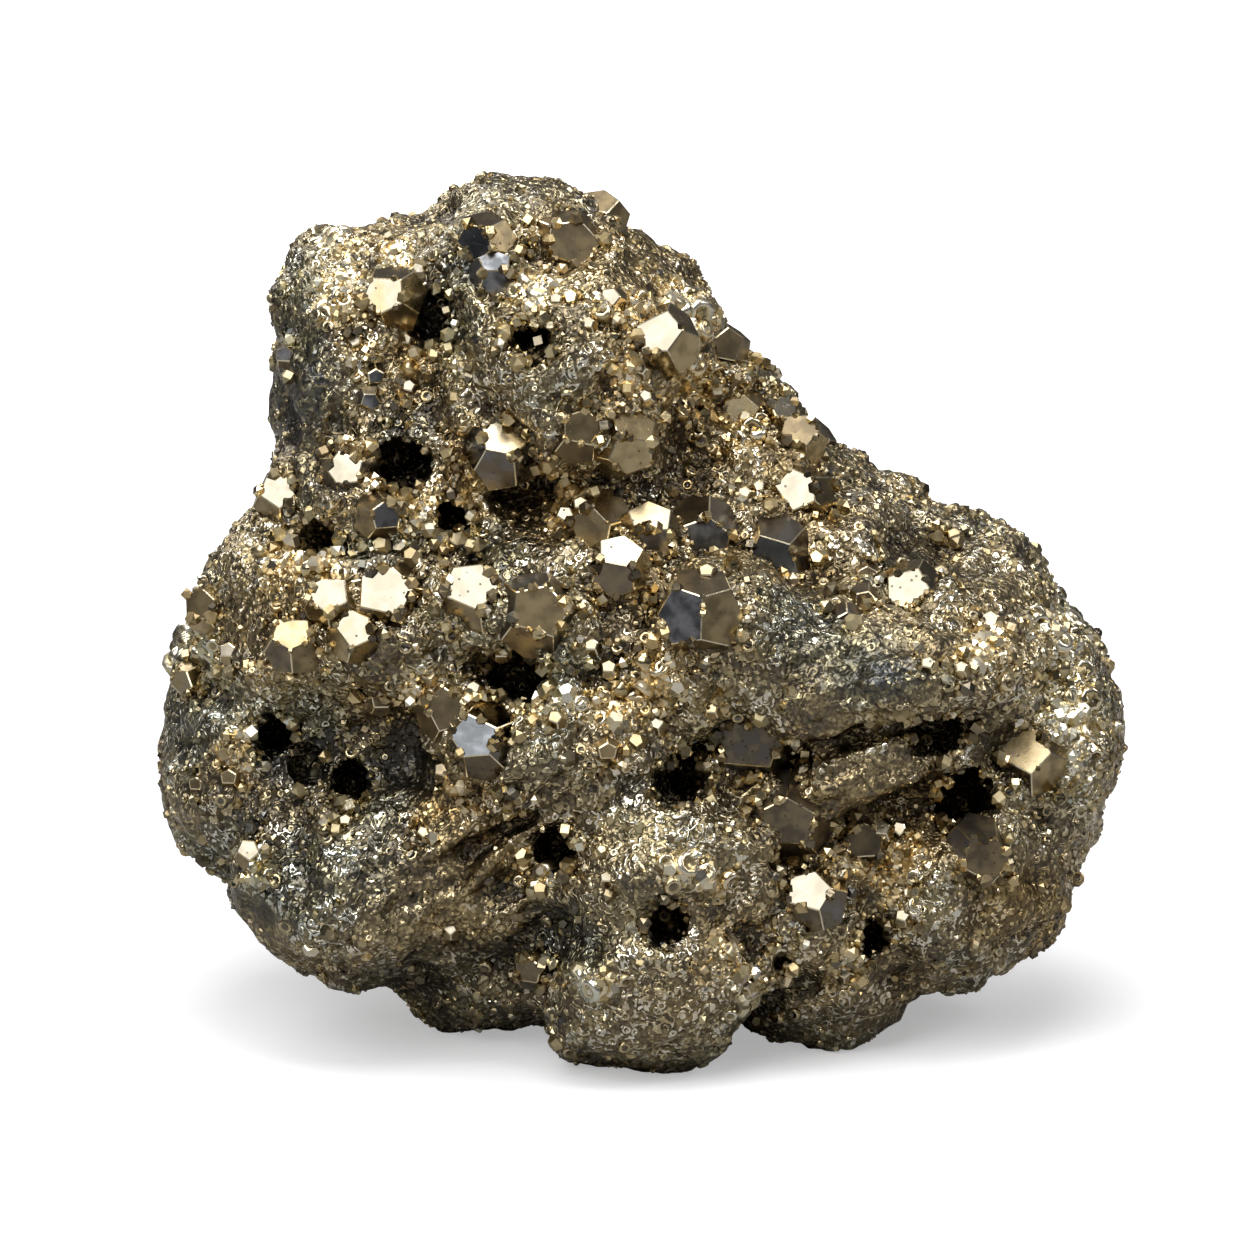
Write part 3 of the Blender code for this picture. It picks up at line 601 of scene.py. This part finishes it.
def flow_ridges(points, front):
    """Low parallel ridges across the flow patches: a sine of the distance across the ridges, bent
    by soft noise."""
    seen = on_sight_plane(points)
    bend = 0.9 * soft_noise(points, 5.0, 31)
    height = np.zeros(len(points))
    for across, up, wide, high, slope in FLOW_PATCHES:
        run, climb = math.cos(math.radians(slope)), math.sin(math.radians(slope))
        along = (seen[:, 0] - across) * run + (seen[:, 1] - up) * climb
        over = (seen[:, 1] - up) * run - (seen[:, 0] - across) * climb
        inside = np.clip(1.5 - np.hypot(along / wide, over / high), 0, 1)
        height += inside * front * FLOW_HEIGHT * np.sin((over + bend) * math.tau / FLOW_SPACING)
    return height


def sunk_by(points, faces, normals):
    """How far each point lies below the mean surface round it, in millimetres: its neighbours'
    positions are averaged over and over, and the shift is read along the normal."""
    ends = np.concatenate([faces[:, [k, (k + 1) % 4]] for k in range(4)])
    links = np.bincount(ends[:, 0], minlength=len(points)).astype(float)
    mean = points.copy()
    for _ in range(SUNK_ROUNDS):
        mean = np.stack([
            np.bincount(ends[:, 0], mean[ends[:, 1], axis], len(points)) / links
            for axis in range(3)], axis=1)
    return ((mean - points) * normals).sum(axis=1)


def build_skin(solid, crystals, smaller, material):
    """Skin height = knobs + ripples + rounded granules, each an amplitude times a pattern in space,
    lower in the smooth patches, less the vugs' funnels and the dents."""
    points, faces, normals = bare_skin(solid)
    front = np.clip(-normals[:, 1] * 1.5 + 0.9, 0, 1)
    smooth, golden, grey, stain = (
        patches(points, front, places, 60 + number) for number, places in enumerate(
            (SMOOTH_PATCHES, GOLDEN_PATCHES, GREY_PATCHES, STAINED_PATCHES)))
    funnels = [(across, up, w + VUG_RIM, h + VUG_RIM, 1) for across, up, w, _, h, _ in VUGS]
    dents = [(across, up, w * DENT_EDGE, h * DENT_EDGE, deep) for across, up, w, h, deep in DENTS]
    vug = bowls(points, front, funnels, 0.7, 2.2, (81, 82))
    dented = bowls(points, front, dents, 0.8, 3.0, (84, 85))
    near, own = cell_noise(points, 1.5, 11)
    fine_near, fine_own = cell_noise(points, 0.85, 21)
    granules = 0.55 * np.sqrt(np.clip(1 - (near / 0.72) ** 2, 0, 1)) - 0.3 + 0.3 * (own - 0.5)
    height = 0.55 * soft_noise(points, 6.0, 3) + 0.5 * soft_noise(points, 3.0, 1)
    height += 0.24 * soft_noise(points, 1.4, 2) + flow_ridges(points, front)
    height += (0.5 + 0.55 * golden - 0.35 * smooth) * granules
    height += 0.14 * (0.5 - fine_near + 0.5 * fine_own)
    height += creep_round_crystals(points, on_front(crystals)) - 0.6 * vug - dented
    lifted = points + normals * height[:, None]
    lifted[:, 2] = np.maximum(lifted[:, 2], 0.03)
    # How sunk each point is, dents included: painted shade darkens the skin and its grains there.
    hollow = np.clip(sunk_by(lifted, faces, normals) / 0.7 + 0.32 * dented, 0, 1)
    lifted = drawn_under_crystals(lifted, points, crystals + smaller)
    # The tone is lowered in the hollows as painted shade; the tint is made browner there.
    tone = 0.37 + 0.28 * golden - 0.13 * grey + 0.2 * (own - 0.5) - 0.22 * hollow - 0.08 * smooth
    tint = 0.5 - 0.5 * grey + 0.4 * stain + 0.04 * golden + 0.38 * soft_noise(points, 7.0, 64)
    tint = np.clip(tint + 0.1 * hollow, 0, 1)
    piece = piece_from(
        "granular_skin", lifted, faces.tolist(), material,
        tone=tone, tint=tint, smooth=smooth, hollow=hollow)
    shade_smooth(piece.data)
    return {
        "points": lifted, "faces": faces, "smooth": smooth, "golden": golden, "grey": grey,
        "hollow": hollow, "vug": vug, "tint": tint,
    }


# ---- shapes of grains

def hull_of(corners):
    """Corners and faces of the closed flat-sided shape that has the corners given."""
    shape = bmesh.new()
    for corner in corners:
        shape.verts.new(corner)
    bmesh.ops.convex_hull(shape, input=shape.verts)
    bmesh.ops.recalc_face_normals(shape, faces=shape.faces)
    shape.verts.index_update()
    faces = [[v.index for v in face.verts] for face in shape.faces]
    shape.free()
    return np.array(corners, float), faces


def hopper_grain():
    """A round grain with a raised rim and a sunken middle: eight-sided rings at four levels, each
    a radius, a height and what it adds to the grain's tone: a painted highlight on the rim, and
    painted shade at the base and in the sunken middle."""
    levels = ((0.5, -0.45, -0.3), (0.5, 0.06, 0.0), (0.38, 0.2, 0.4), (0.2, 0.05, -0.35))
    turn = np.arange(8) * math.pi / 4
    corners = np.concatenate([
        np.stack([r * np.cos(turn), r * np.sin(turn), np.full(8, z)], axis=1) for r, z, _ in levels])
    faces = [
        (ring * 8 + k, ring * 8 + (k + 1) % 8, ring * 8 + 8 + (k + 1) % 8, ring * 8 + 8 + k)
        for ring in range(3) for k in range(8)]
    faces += [tuple(range(7, -1, -1)), tuple(range(24, 32))]
    return (corners, faces), np.repeat([painted_light_and_shade for *_, painted_light_and_shade in levels], 8)


# ---- what grows on the skin

def spread(skin, count, weight, chance):
    """Random places on the skin, chosen by face area times weight, and seldom inside the vugs, with
    the face's outward normal and the number of its first point."""
    quads = skin["faces"]
    corner = skin["points"][quads]
    normal = np.cross(corner[:, 2] - corner[:, 0], corner[:, 3] - corner[:, 1])
    area = np.linalg.norm(normal, axis=1)
    share = area * (weight * (1 - 0.8 * np.clip(skin["vug"] * 2 - 0.7, 0, 1)))[quads[:, 0]]
    chosen = chance.choice(len(quads), count, p=share / share.sum())
    u, v = chance.random((2, count, 1))
    c = corner[chosen]
    places = (c[:, 0] * (1 - u) + c[:, 1] * u) * (1 - v) + (c[:, 3] * (1 - u) + c[:, 2] * u) * v
    return places, normal[chosen] / area[chosen, None], quads[chosen, 0]


def crust_weight(skin, spacing, seed, gain, mean, least, plain, golden, smooth):
    """How thickly grains grow: soft noise clusters, thicker in the golden patches by golden, and
    thinner in the smooth ones by smooth."""
    clustered = np.clip(soft_noise(skin["points"], spacing, seed) * gain + mean, least, 1)
    return clustered * (plain + golden * skin["golden"]) * (1 - smooth * skin["smooth"])


def kept_clear(places, crystals, clearance, height, *others):
    """The places higher over the crystals than the clearance and over the floor than the height,
    with what goes with them."""
    keep = (height_over_crystals(places, crystals) > clearance) & (places[:, 2] > height)
    return [values[keep] for values in (places, *others)]


def grain_tones(skin, anchor, chance, plain, golden, grey, hollow, vary):
    """Tones by the patches that the grains grow in, lowered in the skin's hollows as painted shade,
    varied from grain to grain.
    """
    tone = plain + golden * skin["golden"][anchor] - grey * skin["grey"][anchor]
    return tone - hollow * skin["hollow"][anchor] + chance.normal(0, vary, len(anchor))


def grain_tints(skin, anchor, chance):
    """The skin's tint at each grain, varied a little from grain to grain."""
    return 0.2 + 0.6 * skin["tint"][anchor] + chance.normal(0, 0.12, len(anchor))


def build_grains(name, corners, count, smallest, largest, seed, skin, crystals, material):
    """A crust of closed grains set into the skin, their sizes skewed to the small end."""
    chance = np.random.default_rng(seed)
    weight = crust_weight(skin, 2.6, 41, 1.6, 0.35, 0.06, plain=0.3, golden=1.7, smooth=0.85)
    places, normals, anchor = spread(skin, count, weight, chance)
    sizes = smallest + (largest - smallest) * chance.random(count) ** 3
    sizes *= 0.8 + 0.35 * skin["golden"][anchor] - 0.2 * skin["smooth"][anchor]
    places, normals, anchor, sizes = kept_clear(
        places, crystals, sizes * 0.35, sizes * 0.6, normals, anchor, sizes)
    grains_piece(
        name, hull_of(corners), places - normals * (sizes * 0.12)[:, None],
        random_turns(chance, len(places)), sizes, material,
        tone=grain_tones(skin, anchor, chance, 0.5, 0.4, 0.22, 0.3, 0.24),
        polish=chance.random(len(places)), tint=grain_tints(skin, anchor, chance))


def build_hopper_grains(skin, crystals, material):
    """Rimmed grains on the skin, thickest in the golden patches and few in the smooth ones."""
    chance = np.random.default_rng(14)
    shape, painted_light_and_shade = hopper_grain()
    weight = crust_weight(skin, 3.2, 43, 1.8, 0.4, 0.05, plain=0.35, golden=1.6, smooth=0.8)
    places, normals, anchor = spread(skin, 3000, weight, chance)
    sizes = (0.5 + 0.8 * chance.random(len(places)) ** 2.5) * (1 + 0.9 * skin["golden"][anchor])
    places, normals, anchor, sizes = kept_clear(
        places, crystals, sizes * 0.4, sizes * 0.8, normals, anchor, sizes)
    # The rings add a painted highlight on each rim and painted shade at its base and sunken middle.
    piece = grains_piece(
        "hopper_grains", shape, places, turns_along(normals, 0.35, chance), sizes, material,
        tone=grain_tones(skin, anchor, chance, 0.52, 0.4, 0.15, 0.3, 0.12)[:, None] + painted_light_and_shade,
        tint=grain_tints(skin, anchor, chance), polish=0.4 + 0.5 * chance.random(len(places)))
    shade_smooth(piece.data)


def build_collars(skin, crystals, material):
    """Grains crowded against the sides of the crystals and round the mouths of the vugs."""
    chance = np.random.default_rng(9)
    over = height_over_crystals(skin["points"], crystals)
    beside = (over > 0.1) & (over < 0.8)
    mouth = (skin["vug"] > 0.05) & (skin["vug"] < 0.4) & (skin["hollow"] < 0.8)
    places, normals, anchor = spread(skin, 3600, beside + 1.8 * mouth, chance)
    sizes = (0.3 + 0.9 * chance.random(len(places)) ** 2.5) * (1 + 0.1 * mouth[anchor])
    places, normals, anchor, sizes = kept_clear(
        places, crystals, sizes * 0.25, sizes * 0.6, normals, anchor, sizes)
    grains_piece(
        "collar_grains", hull_of(CUT_CUBE), places + normals * (sizes * 0.35)[:, None],
        random_turns(chance, len(places)), sizes, material,
        tone=grain_tones(skin, anchor, chance, 0.6, 0.3, 0, 0, 0.22),
        tint=grain_tints(skin, anchor, chance), polish=chance.random(len(places)))


def build_small_crystals(skin, crystals, material):
    """Small pyritohedra over the skin, thickest in the golden patches."""
    chance = np.random.default_rng(5)
    weight = crust_weight(skin, 4.0, 42, 1.8, 0.3, 0.05, plain=0.1, golden=2.0, smooth=0.85)
    places, normals, anchor = spread(skin, 1500, weight, chance)
    places, normals, anchor = kept_clear(places, crystals, 0.5, 1.4, normals, anchor)
    sizes = 0.65 + 1.15 * chance.random(len(places)) ** 3.5
    grains_piece(
        "small_crystals", (CORNERS, FACES), places - normals * (sizes * 0.1)[:, None],
        random_turns(chance, len(places)), sizes, material,
        tone=grain_tones(skin, anchor, chance, 0.55, 0.35, 0.35, 0, 0.2),
        tint=grain_tints(skin, anchor, chance), polish=chance.random(len(places)))


def build_biting_grains(crystals, material):
    """Grains along the edges of the leading faces, which break their outlines: a grain's middle is
    edge point + outward * 0.1 grain size - face normal * 0.1 grain size."""
    chance = np.random.default_rng(12)
    places, sizes, tones = [], [], []
    loop = CORNERS[FACES[LEADING_FACE]]
    for middle, size, turn, _, polish, _ in crystals:
        count = int(size * (1.6 + 2.5 * (1 - polish) ** 2))
        edge = chance.integers(0, 5, count)
        along = chance.random(count)[:, None]
        points = loop[edge] * (1 - along) + loop[(edge + 1) % 5] * along
        grain = 0.4 + 0.8 * chance.random(count) ** 1.8
        outward = points - loop.mean(axis=0)
        outward /= np.linalg.norm(outward, axis=1)[:, None]
        points = points * size + (outward - FACE_NORMALS[LEADING_FACE]) * (0.1 * grain)[:, None]
        places.append(middle + points @ turn.T)
        sizes.append(grain)
        tones.append(chance.random(count) * 0.6 + 0.15)
    places, sizes, tones = map(np.concatenate, (places, sizes, tones))
    grains_piece(
        "biting_grains", hull_of(CUT_CUBE), places, random_turns(chance, len(places)), sizes,
        material, tone=tones, tint=chance.normal(0.55, 0.12, len(places)),
        polish=chance.random(len(places)))


def build_crystals(crystals, material, edge_highlight_material):
    """The pyritohedra, with narrow bevels along their edges, worn and brightened as a painted
    highlight, and a tone and polish kept on each face."""
    middles, sizes, turns, leading, polish, sides = (np.array(column) for column in zip(*crystals))
    piece = piece_from("crystals", *repeated((CORNERS, FACES), middles, turns, sizes), material)
    chance = np.random.default_rng(4)
    every_face = (len(crystals), len(FACES))
    tones = sides[:, None] + chance.normal(0, 0.08, every_face)
    tones[:, LEADING_FACE] = leading
    keep_numbers(
        piece.data, "FACE", tone=tones, polish=polish[:, None] - 0.4 * chance.random(every_face) ** 2)
    # The bevels carry worn metal and a painted highlight.
    piece.data.materials.append(edge_highlight_material)
    worn = piece.modifiers.new("worn_edges_painted_highlight", "BEVEL")
    worn.width = 0.07 * MM
    worn.segments = 1
    worn.material = 1
    worn.limit_method = "NONE"


# ---- shader nodes

class Value:
    """What one output of a node gives. Arithmetic with it adds nodes to the same tree, and []
    picks another output of the same node."""

    def __init__(self, node, output=0):
        self.node = node
        self.output = output
        self.tree = node.id_data

    def __getitem__(self, output):
        return Value(self.node, output)

    def math(self, operation, *others, clamp=False):
        return combined(self.tree, operation, self, *others, clamp=clamp)

    def __add__(self, other):
        return self.math("ADD", other)

    def __sub__(self, other):
        return self.math("SUBTRACT", other)

    def __rsub__(self, other):
        return combined(self.tree, "SUBTRACT", other, self)

    def __mul__(self, other):
        return self.math("MULTIPLY", other)

    def step(self, low, high):
        """0 at low, 1 at high, with a smooth rise between."""
        return add_node(
            self.tree, "ShaderNodeMapRange", {"Value": self, "From Min": low, "From Max": high},
            interpolation_type="SMOOTHSTEP")

    def ramp(self, stops):
        made = add_node(self.tree, "ShaderNodeValToRGB", {"Fac": self})
        elements = made.node.color_ramp.elements
        while len(elements) < len(stops):
            elements.new(0.5)
        for element, (place, colour) in zip(elements, stops):
            element.position = place
            element.color = (*colour, 1)
        return made


def set_inputs(node, inputs):
    """Gives each of a node's inputs its number, or a link from the Value given for it."""
    for key, value in dict(inputs).items():
        if isinstance(value, Value):
            value.tree.links.new(value.node.outputs[value.output], node.inputs[key])
        else:
            node.inputs[key].default_value = value


def add_node(tree, kind, inputs=(), **settings):
    made = tree.nodes.new(kind)
    for key, value in settings.items():
        setattr(made, key, value)
    set_inputs(made, inputs)
    return Value(made)


def combined(tree, operation, *numbers, clamp=False):
    return add_node(
        tree, "ShaderNodeMath", enumerate(numbers), operation=operation, use_clamp=clamp)


def vectors(operation, *inputs, **named):
    return add_node(
        inputs[0].tree, "ShaderNodeVectorMath", {**dict(enumerate(inputs)), **named},
        operation=operation)


def mix(share, first, second, blend="MIX"):
    return add_node(
        second.tree, "ShaderNodeMix", {"Factor": share, "A": first, "B": second},
        data_type="RGBA", blend_type=blend)["Result"]


def noise(where, scale, detail=0.0, distortion=0.0):
    return add_node(where.tree, "ShaderNodeTexNoise", {
        "Vector": where, "Scale": scale, "Detail": detail, "Distortion": distortion})["Fac"]


def cells_of(where, scale):
    """Cells round scattered points: the distance to the point, and a random colour for each."""
    return add_node(where.tree, "ShaderNodeTexVoronoi", {"Vector": where, "Scale": scale})


def own_number(cells, channel):
    """One of the random numbers from 0 to 1 in each cell's colour."""
    return add_node(cells.tree, "ShaderNodeSeparateColor", {0: cells["Color"]})[channel]


def attribute(tree, name):
    return add_node(tree, "ShaderNodeAttribute", attribute_name=name)["Fac"]


def object_place(tree):
    return add_node(tree, "ShaderNodeTexCoord")["Object"]


def from_group(tree, group, inputs=()):
    return add_node(tree, "ShaderNodeGroup", inputs, node_tree=group)


def new_group(name, takes, gives):
    """A node group that takes numbers and gives outputs of the kinds named, with what it is given
    and the place on the object."""
    group = bpy.data.node_groups.new(name, "ShaderNodeTree")
    for label in takes:
        group.interface.new_socket(label, in_out="INPUT", socket_type="NodeSocketFloat")
    for label, kind in gives.items():
        group.interface.new_socket(label, in_out="OUTPUT", socket_type=f"NodeSocket{kind}")
    return group, add_node(group, "NodeGroupInput"), object_place(group)


# ---- patterns shared by the finishes

def tarnish_group():
    """Colour and roughness of pyrite from its tone, tint and polish, broken up by tarnish."""
    group, given, where = new_group(
        "pyrite tarnish", ("Tone", "Tint", "Polish"), {"Color": "Color", "Roughness": "Float"})
    sway = noise(where, 160.0, 1.0) * 0.5 - 0.25
    flecks = noise(where, 1500.0) * 0.3 - 0.15
    tone = (given["Tone"] + sway).math("ADD", flecks, clamp=True)
    colour = mix(1.0, tone.ramp(TARNISH_COLOURS), given["Tint"].ramp(STAIN_COLOURS), "MULTIPLY")
    dull = 1.0 - given["Polish"] + flecks
    roughness = dull.math("MULTIPLY_ADD", 0.36, 0.10, clamp=True)
    add_node(group, "NodeGroupOutput", {"Color": colour, "Roughness": roughness})
    return group


def engraving_group():
    """Ridges engraved in the surface: short worm-like ones along the contours of one noise, broken
    up by another, small rings round points scattered one to a cell, and fine specks, the peaks of
    a third noise. Gives the ridges' height and how bright their crests are."""
    group, given, where = new_group(
        "worms and rings", ("Cells per metre",), {"Height": "Float", "Crests": "Float"})
    scale = given["Cells per metre"]
    wave = (noise(where, scale, distortion=0.7) * 24.0).math("SINE")
    worms = wave.step(-0.6, 1.0) * noise(where, scale * 1.7).step(0.44, 0.56)
    cells = cells_of(where, scale * 1.5)
    rings = (cells["Distance"] - 0.3).math("ABSOLUTE").step(0.22, 0.02)
    rings = rings * own_number(cells, 0).math("GREATER_THAN", 0.62)
    specks = noise(where, scale * 3.3).step(0.52, 0.72)
    height = worms.math("MAXIMUM", rings).math("MAXIMUM", specks)
    add_node(group, "NodeGroupOutput", {"Height": height, "Crests": height.step(0.58, 0.92)})
    return group


def facet_group():
    """A normal tilted at random in each small cell of space, so that every cell gleams like a
    crystal face, and a shade that darkens toward the cell's edges."""
    group, given, where = new_group(
        "fine facets", ("Cells per metre", "Tilt"), {"Normal": "Vector", "Shade": "Float"})
    cells = cells_of(where, given["Cells per metre"])
    facing = add_node(group, "ShaderNodeNewGeometry")["Normal"]
    away = vectors("SUBTRACT", cells["Color"], (0.5, 0.5, 0.5))
    tilted = vectors("ADD", facing, vectors("SCALE", away, Scale=given["Tilt"]))
    shade = cells["Distance"].step(0.75, 0.35)
    add_node(group, "NodeGroupOutput", {"Normal": vectors("NORMALIZE", tilted), "Shade": shade})
    return group


def face_wear_group():
    """How worn a crystal face is, 0 to 1: cloudy mottling, small pits and hair-thin scratches, the
    scratches being the zero lines of a noise drawn out in one direction."""
    group, _, where = new_group("face wear", (), {"Mottle": "Float", "Marks": "Float"})
    cells = cells_of(where, 1500.0)
    pits = cells["Distance"].step(0.2, 0.08) * own_number(cells, 1).math("GREATER_THAN", 0.6)
    drawn_out = add_node(group, "ShaderNodeMapping", {
        "Vector": where, "Rotation": (0.4, 0.7, 0.3), "Scale": (1.0, 0.1, 1.0)})
    scratches = (noise(drawn_out, 520.0) - 0.5).math("ABSOLUTE").step(0.008, 0.002)
    marks = pits.math("MAXIMUM", scratches * 0.14)
    mottle = noise(where, 750.0, 3.0).step(0.35, 0.68)
    add_node(group, "NodeGroupOutput", {"Mottle": mottle, "Marks": marks})
    return group


# ---- finishes

def new_finish(name):
    material = bpy.data.materials.new(name)
    material.use_nodes = True
    return material, material.node_tree


def join_metal(tree, colour, roughness, height, depth, **normal):
    """Joins a metal up: its colour and roughness, and a height pattern as relief, whose depth is in
    millimetres, over the plain normal or the one given."""
    relief = {"Height": height, "Distance": depth * MM, "Strength": 1.0, **normal}
    set_inputs(tree.nodes["Principled BSDF"], {
        "Base Color": colour, "Metallic": 1.0, "Roughness": roughness,
        "Normal": add_node(tree, "ShaderNodeBump", relief)})


def plain_finish(name, tarnish, looks, grit, depth):
    """Tarnished metal with a fine grit; the looks are tone, tint and polish, each a number or the
    name of an attribute."""
    material, tree = new_finish(name)
    coat = from_group(tree, tarnish, {
        label: attribute(tree, look) if isinstance(look, str) else look
        for label, look in zip(("Tone", "Tint", "Polish"), looks)})
    height = noise(object_place(tree), grit, 1.0)
    join_metal(tree, coat["Color"], coat["Roughness"], height, depth)
    return material


def massive_finish(tarnish):
    """Massive pyrite: faceted grit under engraved ridges, with a painted highlight on their crests,
    and painted shade between the crests, toward the facets' edges and in the hollows.
    """
    material, tree = new_finish("massive_pyrite")
    where = object_place(tree)
    facets = from_group(tree, facet_group(), {"Cells per metre": 3000.0, "Tilt": 0.6})
    lines = from_group(tree, engraving_group(), {"Cells per metre": 720.0})
    calm = 1.0 - attribute(tree, "smooth") * 0.6
    gathered = noise(where, 300.0, 1.0).step(0.45, 0.62) * 0.62 + 0.44
    # The crests raise the tone as a painted highlight.
    crests = lines["Crests"] * calm * gathered
    coat = from_group(tree, tarnish, {
        "Tone": crests + attribute(tree, "tone"), "Tint": attribute(tree, "tint"),
        "Polish": crests * 0.55 + 0.3})
    # Painted shade: the colour goes toward VUG_SHADOW between the crests, at the facets' edges and in
    # the hollows.
    lit = crests.math("MAXIMUM", facets["Shade"]) * 0.5 + 0.5
    clear = (1.0 - attribute(tree, "hollow")).math("MAXIMUM", 0.42)
    colour = mix(lit * clear, VUG_SHADOW, coat["Color"])
    height = noise(where, 2600.0, 1.0) * 0.6 + lines["Height"] * calm
    join_metal(tree, colour, coat["Roughness"], height, 0.1, Normal=facets["Normal"])
    return material


def crystal_finish(tarnish):
    """Crystal faces: darkened to a mirror's cream, mottled the more the duller, pitted, scratched."""
    material, tree = new_finish("crystal_faces")
    tone, polish = attribute(tree, "tone"), attribute(tree, "polish")
    coat = from_group(tree, tarnish, {"Tone": tone, "Tint": 0.5, "Polish": polish})
    worn = from_group(tree, face_wear_group())
    cloud, marks = worn["Mottle"], worn["Marks"]
    kept = (1.0 - cloud * (0.42 - polish * 0.22)) * (1.0 - marks * 0.55)
    cream = (tone - cloud * 0.1).ramp(FACE_COLOURS)
    rough = coat["Roughness"].math("ADD", marks * 0.25, clamp=True)
    height = noise(object_place(tree), 900.0, 1.0) - marks
    join_metal(tree, mix(kept, FACE_GRIME, cream), rough, height, 0.012)
    return material


# ---- studio

def aimed(made, azimuth, rise, distance):
    """Sets a light or camera at a distance from the target, looking at it."""
    made.location = TARGET + Vector(direction(azimuth, rise)) * distance
    made.rotation_euler = (TARGET - made.location).to_track_quat("-Z", "Y").to_euler()
    return made


def cleared_tree(owner):
    owner.use_nodes = True
    owner.node_tree.nodes.clear()
    return owner.node_tree


def add_softboxes():
    """Rectangular lights, whose brightness is per area, aimed at the specimen."""
    for name, azimuth, rise, distance, wide, high, brightness in SOFTBOXES:
        lamp = bpy.data.lights.new(name, "AREA")
        lamp.shape = "RECTANGLE"
        lamp.size, lamp.size_y = wide, high
        lamp.energy = brightness * math.pi * wide * high
        aimed(linked(name, lamp), azimuth, rise, distance)


def add_floor():
    """A plain pale floor that glows a little more the further it is from the specimen, so that it
    runs into the white behind."""
    mesh = bpy.data.meshes.new("floor")
    mesh.from_pydata([(-6, -6, 0), (6, -6, 0), (6, 6, 0), (-6, 6, 0)], [], [(0, 1, 2, 3)])
    material = bpy.data.materials.new("pale_floor")
    tree = cleared_tree(material)
    seen = add_node(tree, "ShaderNodeLightPath")["Is Camera Ray"]
    strength = vectors("LENGTH", object_place(tree))["Value"].step(0.05, 0.5) * 0.5 + 0.38
    glow = add_node(tree, "ShaderNodeEmission", {"Color": WHITE, "Strength": strength})
    pale = add_node(tree, "ShaderNodeBsdfDiffuse", {"Color": (0.80, 0.80, 0.82, 1)})
    shown = add_node(tree, "ShaderNodeAddShader", {0: pale, 1: glow})
    soft = add_node(tree, "ShaderNodeBsdfDiffuse", {"Color": (0.34, 0.34, 0.34, 1)})
    both = add_node(tree, "ShaderNodeMixShader", {0: seen, 1: soft, 2: shown})
    add_node(tree, "ShaderNodeOutputMaterial", {"Surface": both})
    mesh.materials.append(material)
    linked("floor", mesh)


def add_room():
    """Grey room light, darker below the horizon, and white where the camera sees past the floor."""
    bpy.context.scene.world = world = bpy.data.worlds.new("studio")
    tree = cleared_tree(world)
    way = add_node(tree, "ShaderNodeTexCoord")["Generated"]
    shade = add_node(tree, "ShaderNodeSeparateXYZ", {0: way})["Z"].ramp(ROOM_COLOURS)
    seen = add_node(tree, "ShaderNodeLightPath")["Is Camera Ray"]
    lit = add_node(tree, "ShaderNodeBackground", {"Color": shade, "Strength": 1.0})
    white = add_node(tree, "ShaderNodeBackground", {"Color": WHITE, "Strength": 0.97})
    mixed = add_node(tree, "ShaderNodeMixShader", {0: seen, 1: lit, 2: white})
    add_node(tree, "ShaderNodeOutputWorld", {"Surface": mixed})


def add_camera():
    lens = bpy.data.cameras.new("camera")
    lens.lens, lens.sensor_width = LENS, SENSOR
    lens.clip_start, lens.clip_end = 0.01, 20
    bpy.context.scene.camera = aimed(linked("camera", lens), 0, CAMERA_RISE, CAMERA_DISTANCE)


def build_studio():
    add_floor()
    add_room()
    add_camera()
    add_softboxes()
    bpy.context.scene.view_settings.view_transform = "Standard"


# ---- everything

def build_specimen():
    points, faces = arrays_of(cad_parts[NODE].data, 3)
    solid = BVHTree.FromPolygons(points.tolist(), faces.tolist())
    crystals = placed_crystals(solid, CRYSTALS) + crystals_behind(solid)
    smaller = placed_crystals(solid, SMALL_CRYSTALS, SMALL_PROUD)
    every = crystals + smaller
    tarnish = tarnish_group()
    grain_finish = plain_finish("crust_grains", tarnish, ("tone", "tint", "polish"), 2500.0, 0.02)
    # The bevels' bright tone is partly worn metal and partly a painted highlight.
    edge_highlight_finish = plain_finish("worn_edges_painted_highlight", tarnish, (0.85, 0.5, 0.75), 2500.0, 0.01)
    skin = build_skin(solid, crystals, smaller, massive_finish(tarnish))
    build_crystals(every, crystal_finish(tarnish), edge_highlight_finish)
    build_small_crystals(skin, every, grain_finish)
    for crust in CRUSTS:
        build_grains(*crust, skin, every, grain_finish)
    build_hopper_grains(skin, every, grain_finish)
    build_collars(skin, every, grain_finish)
    build_biting_grains(on_front(crystals), grain_finish)


build_specimen()
build_studio()
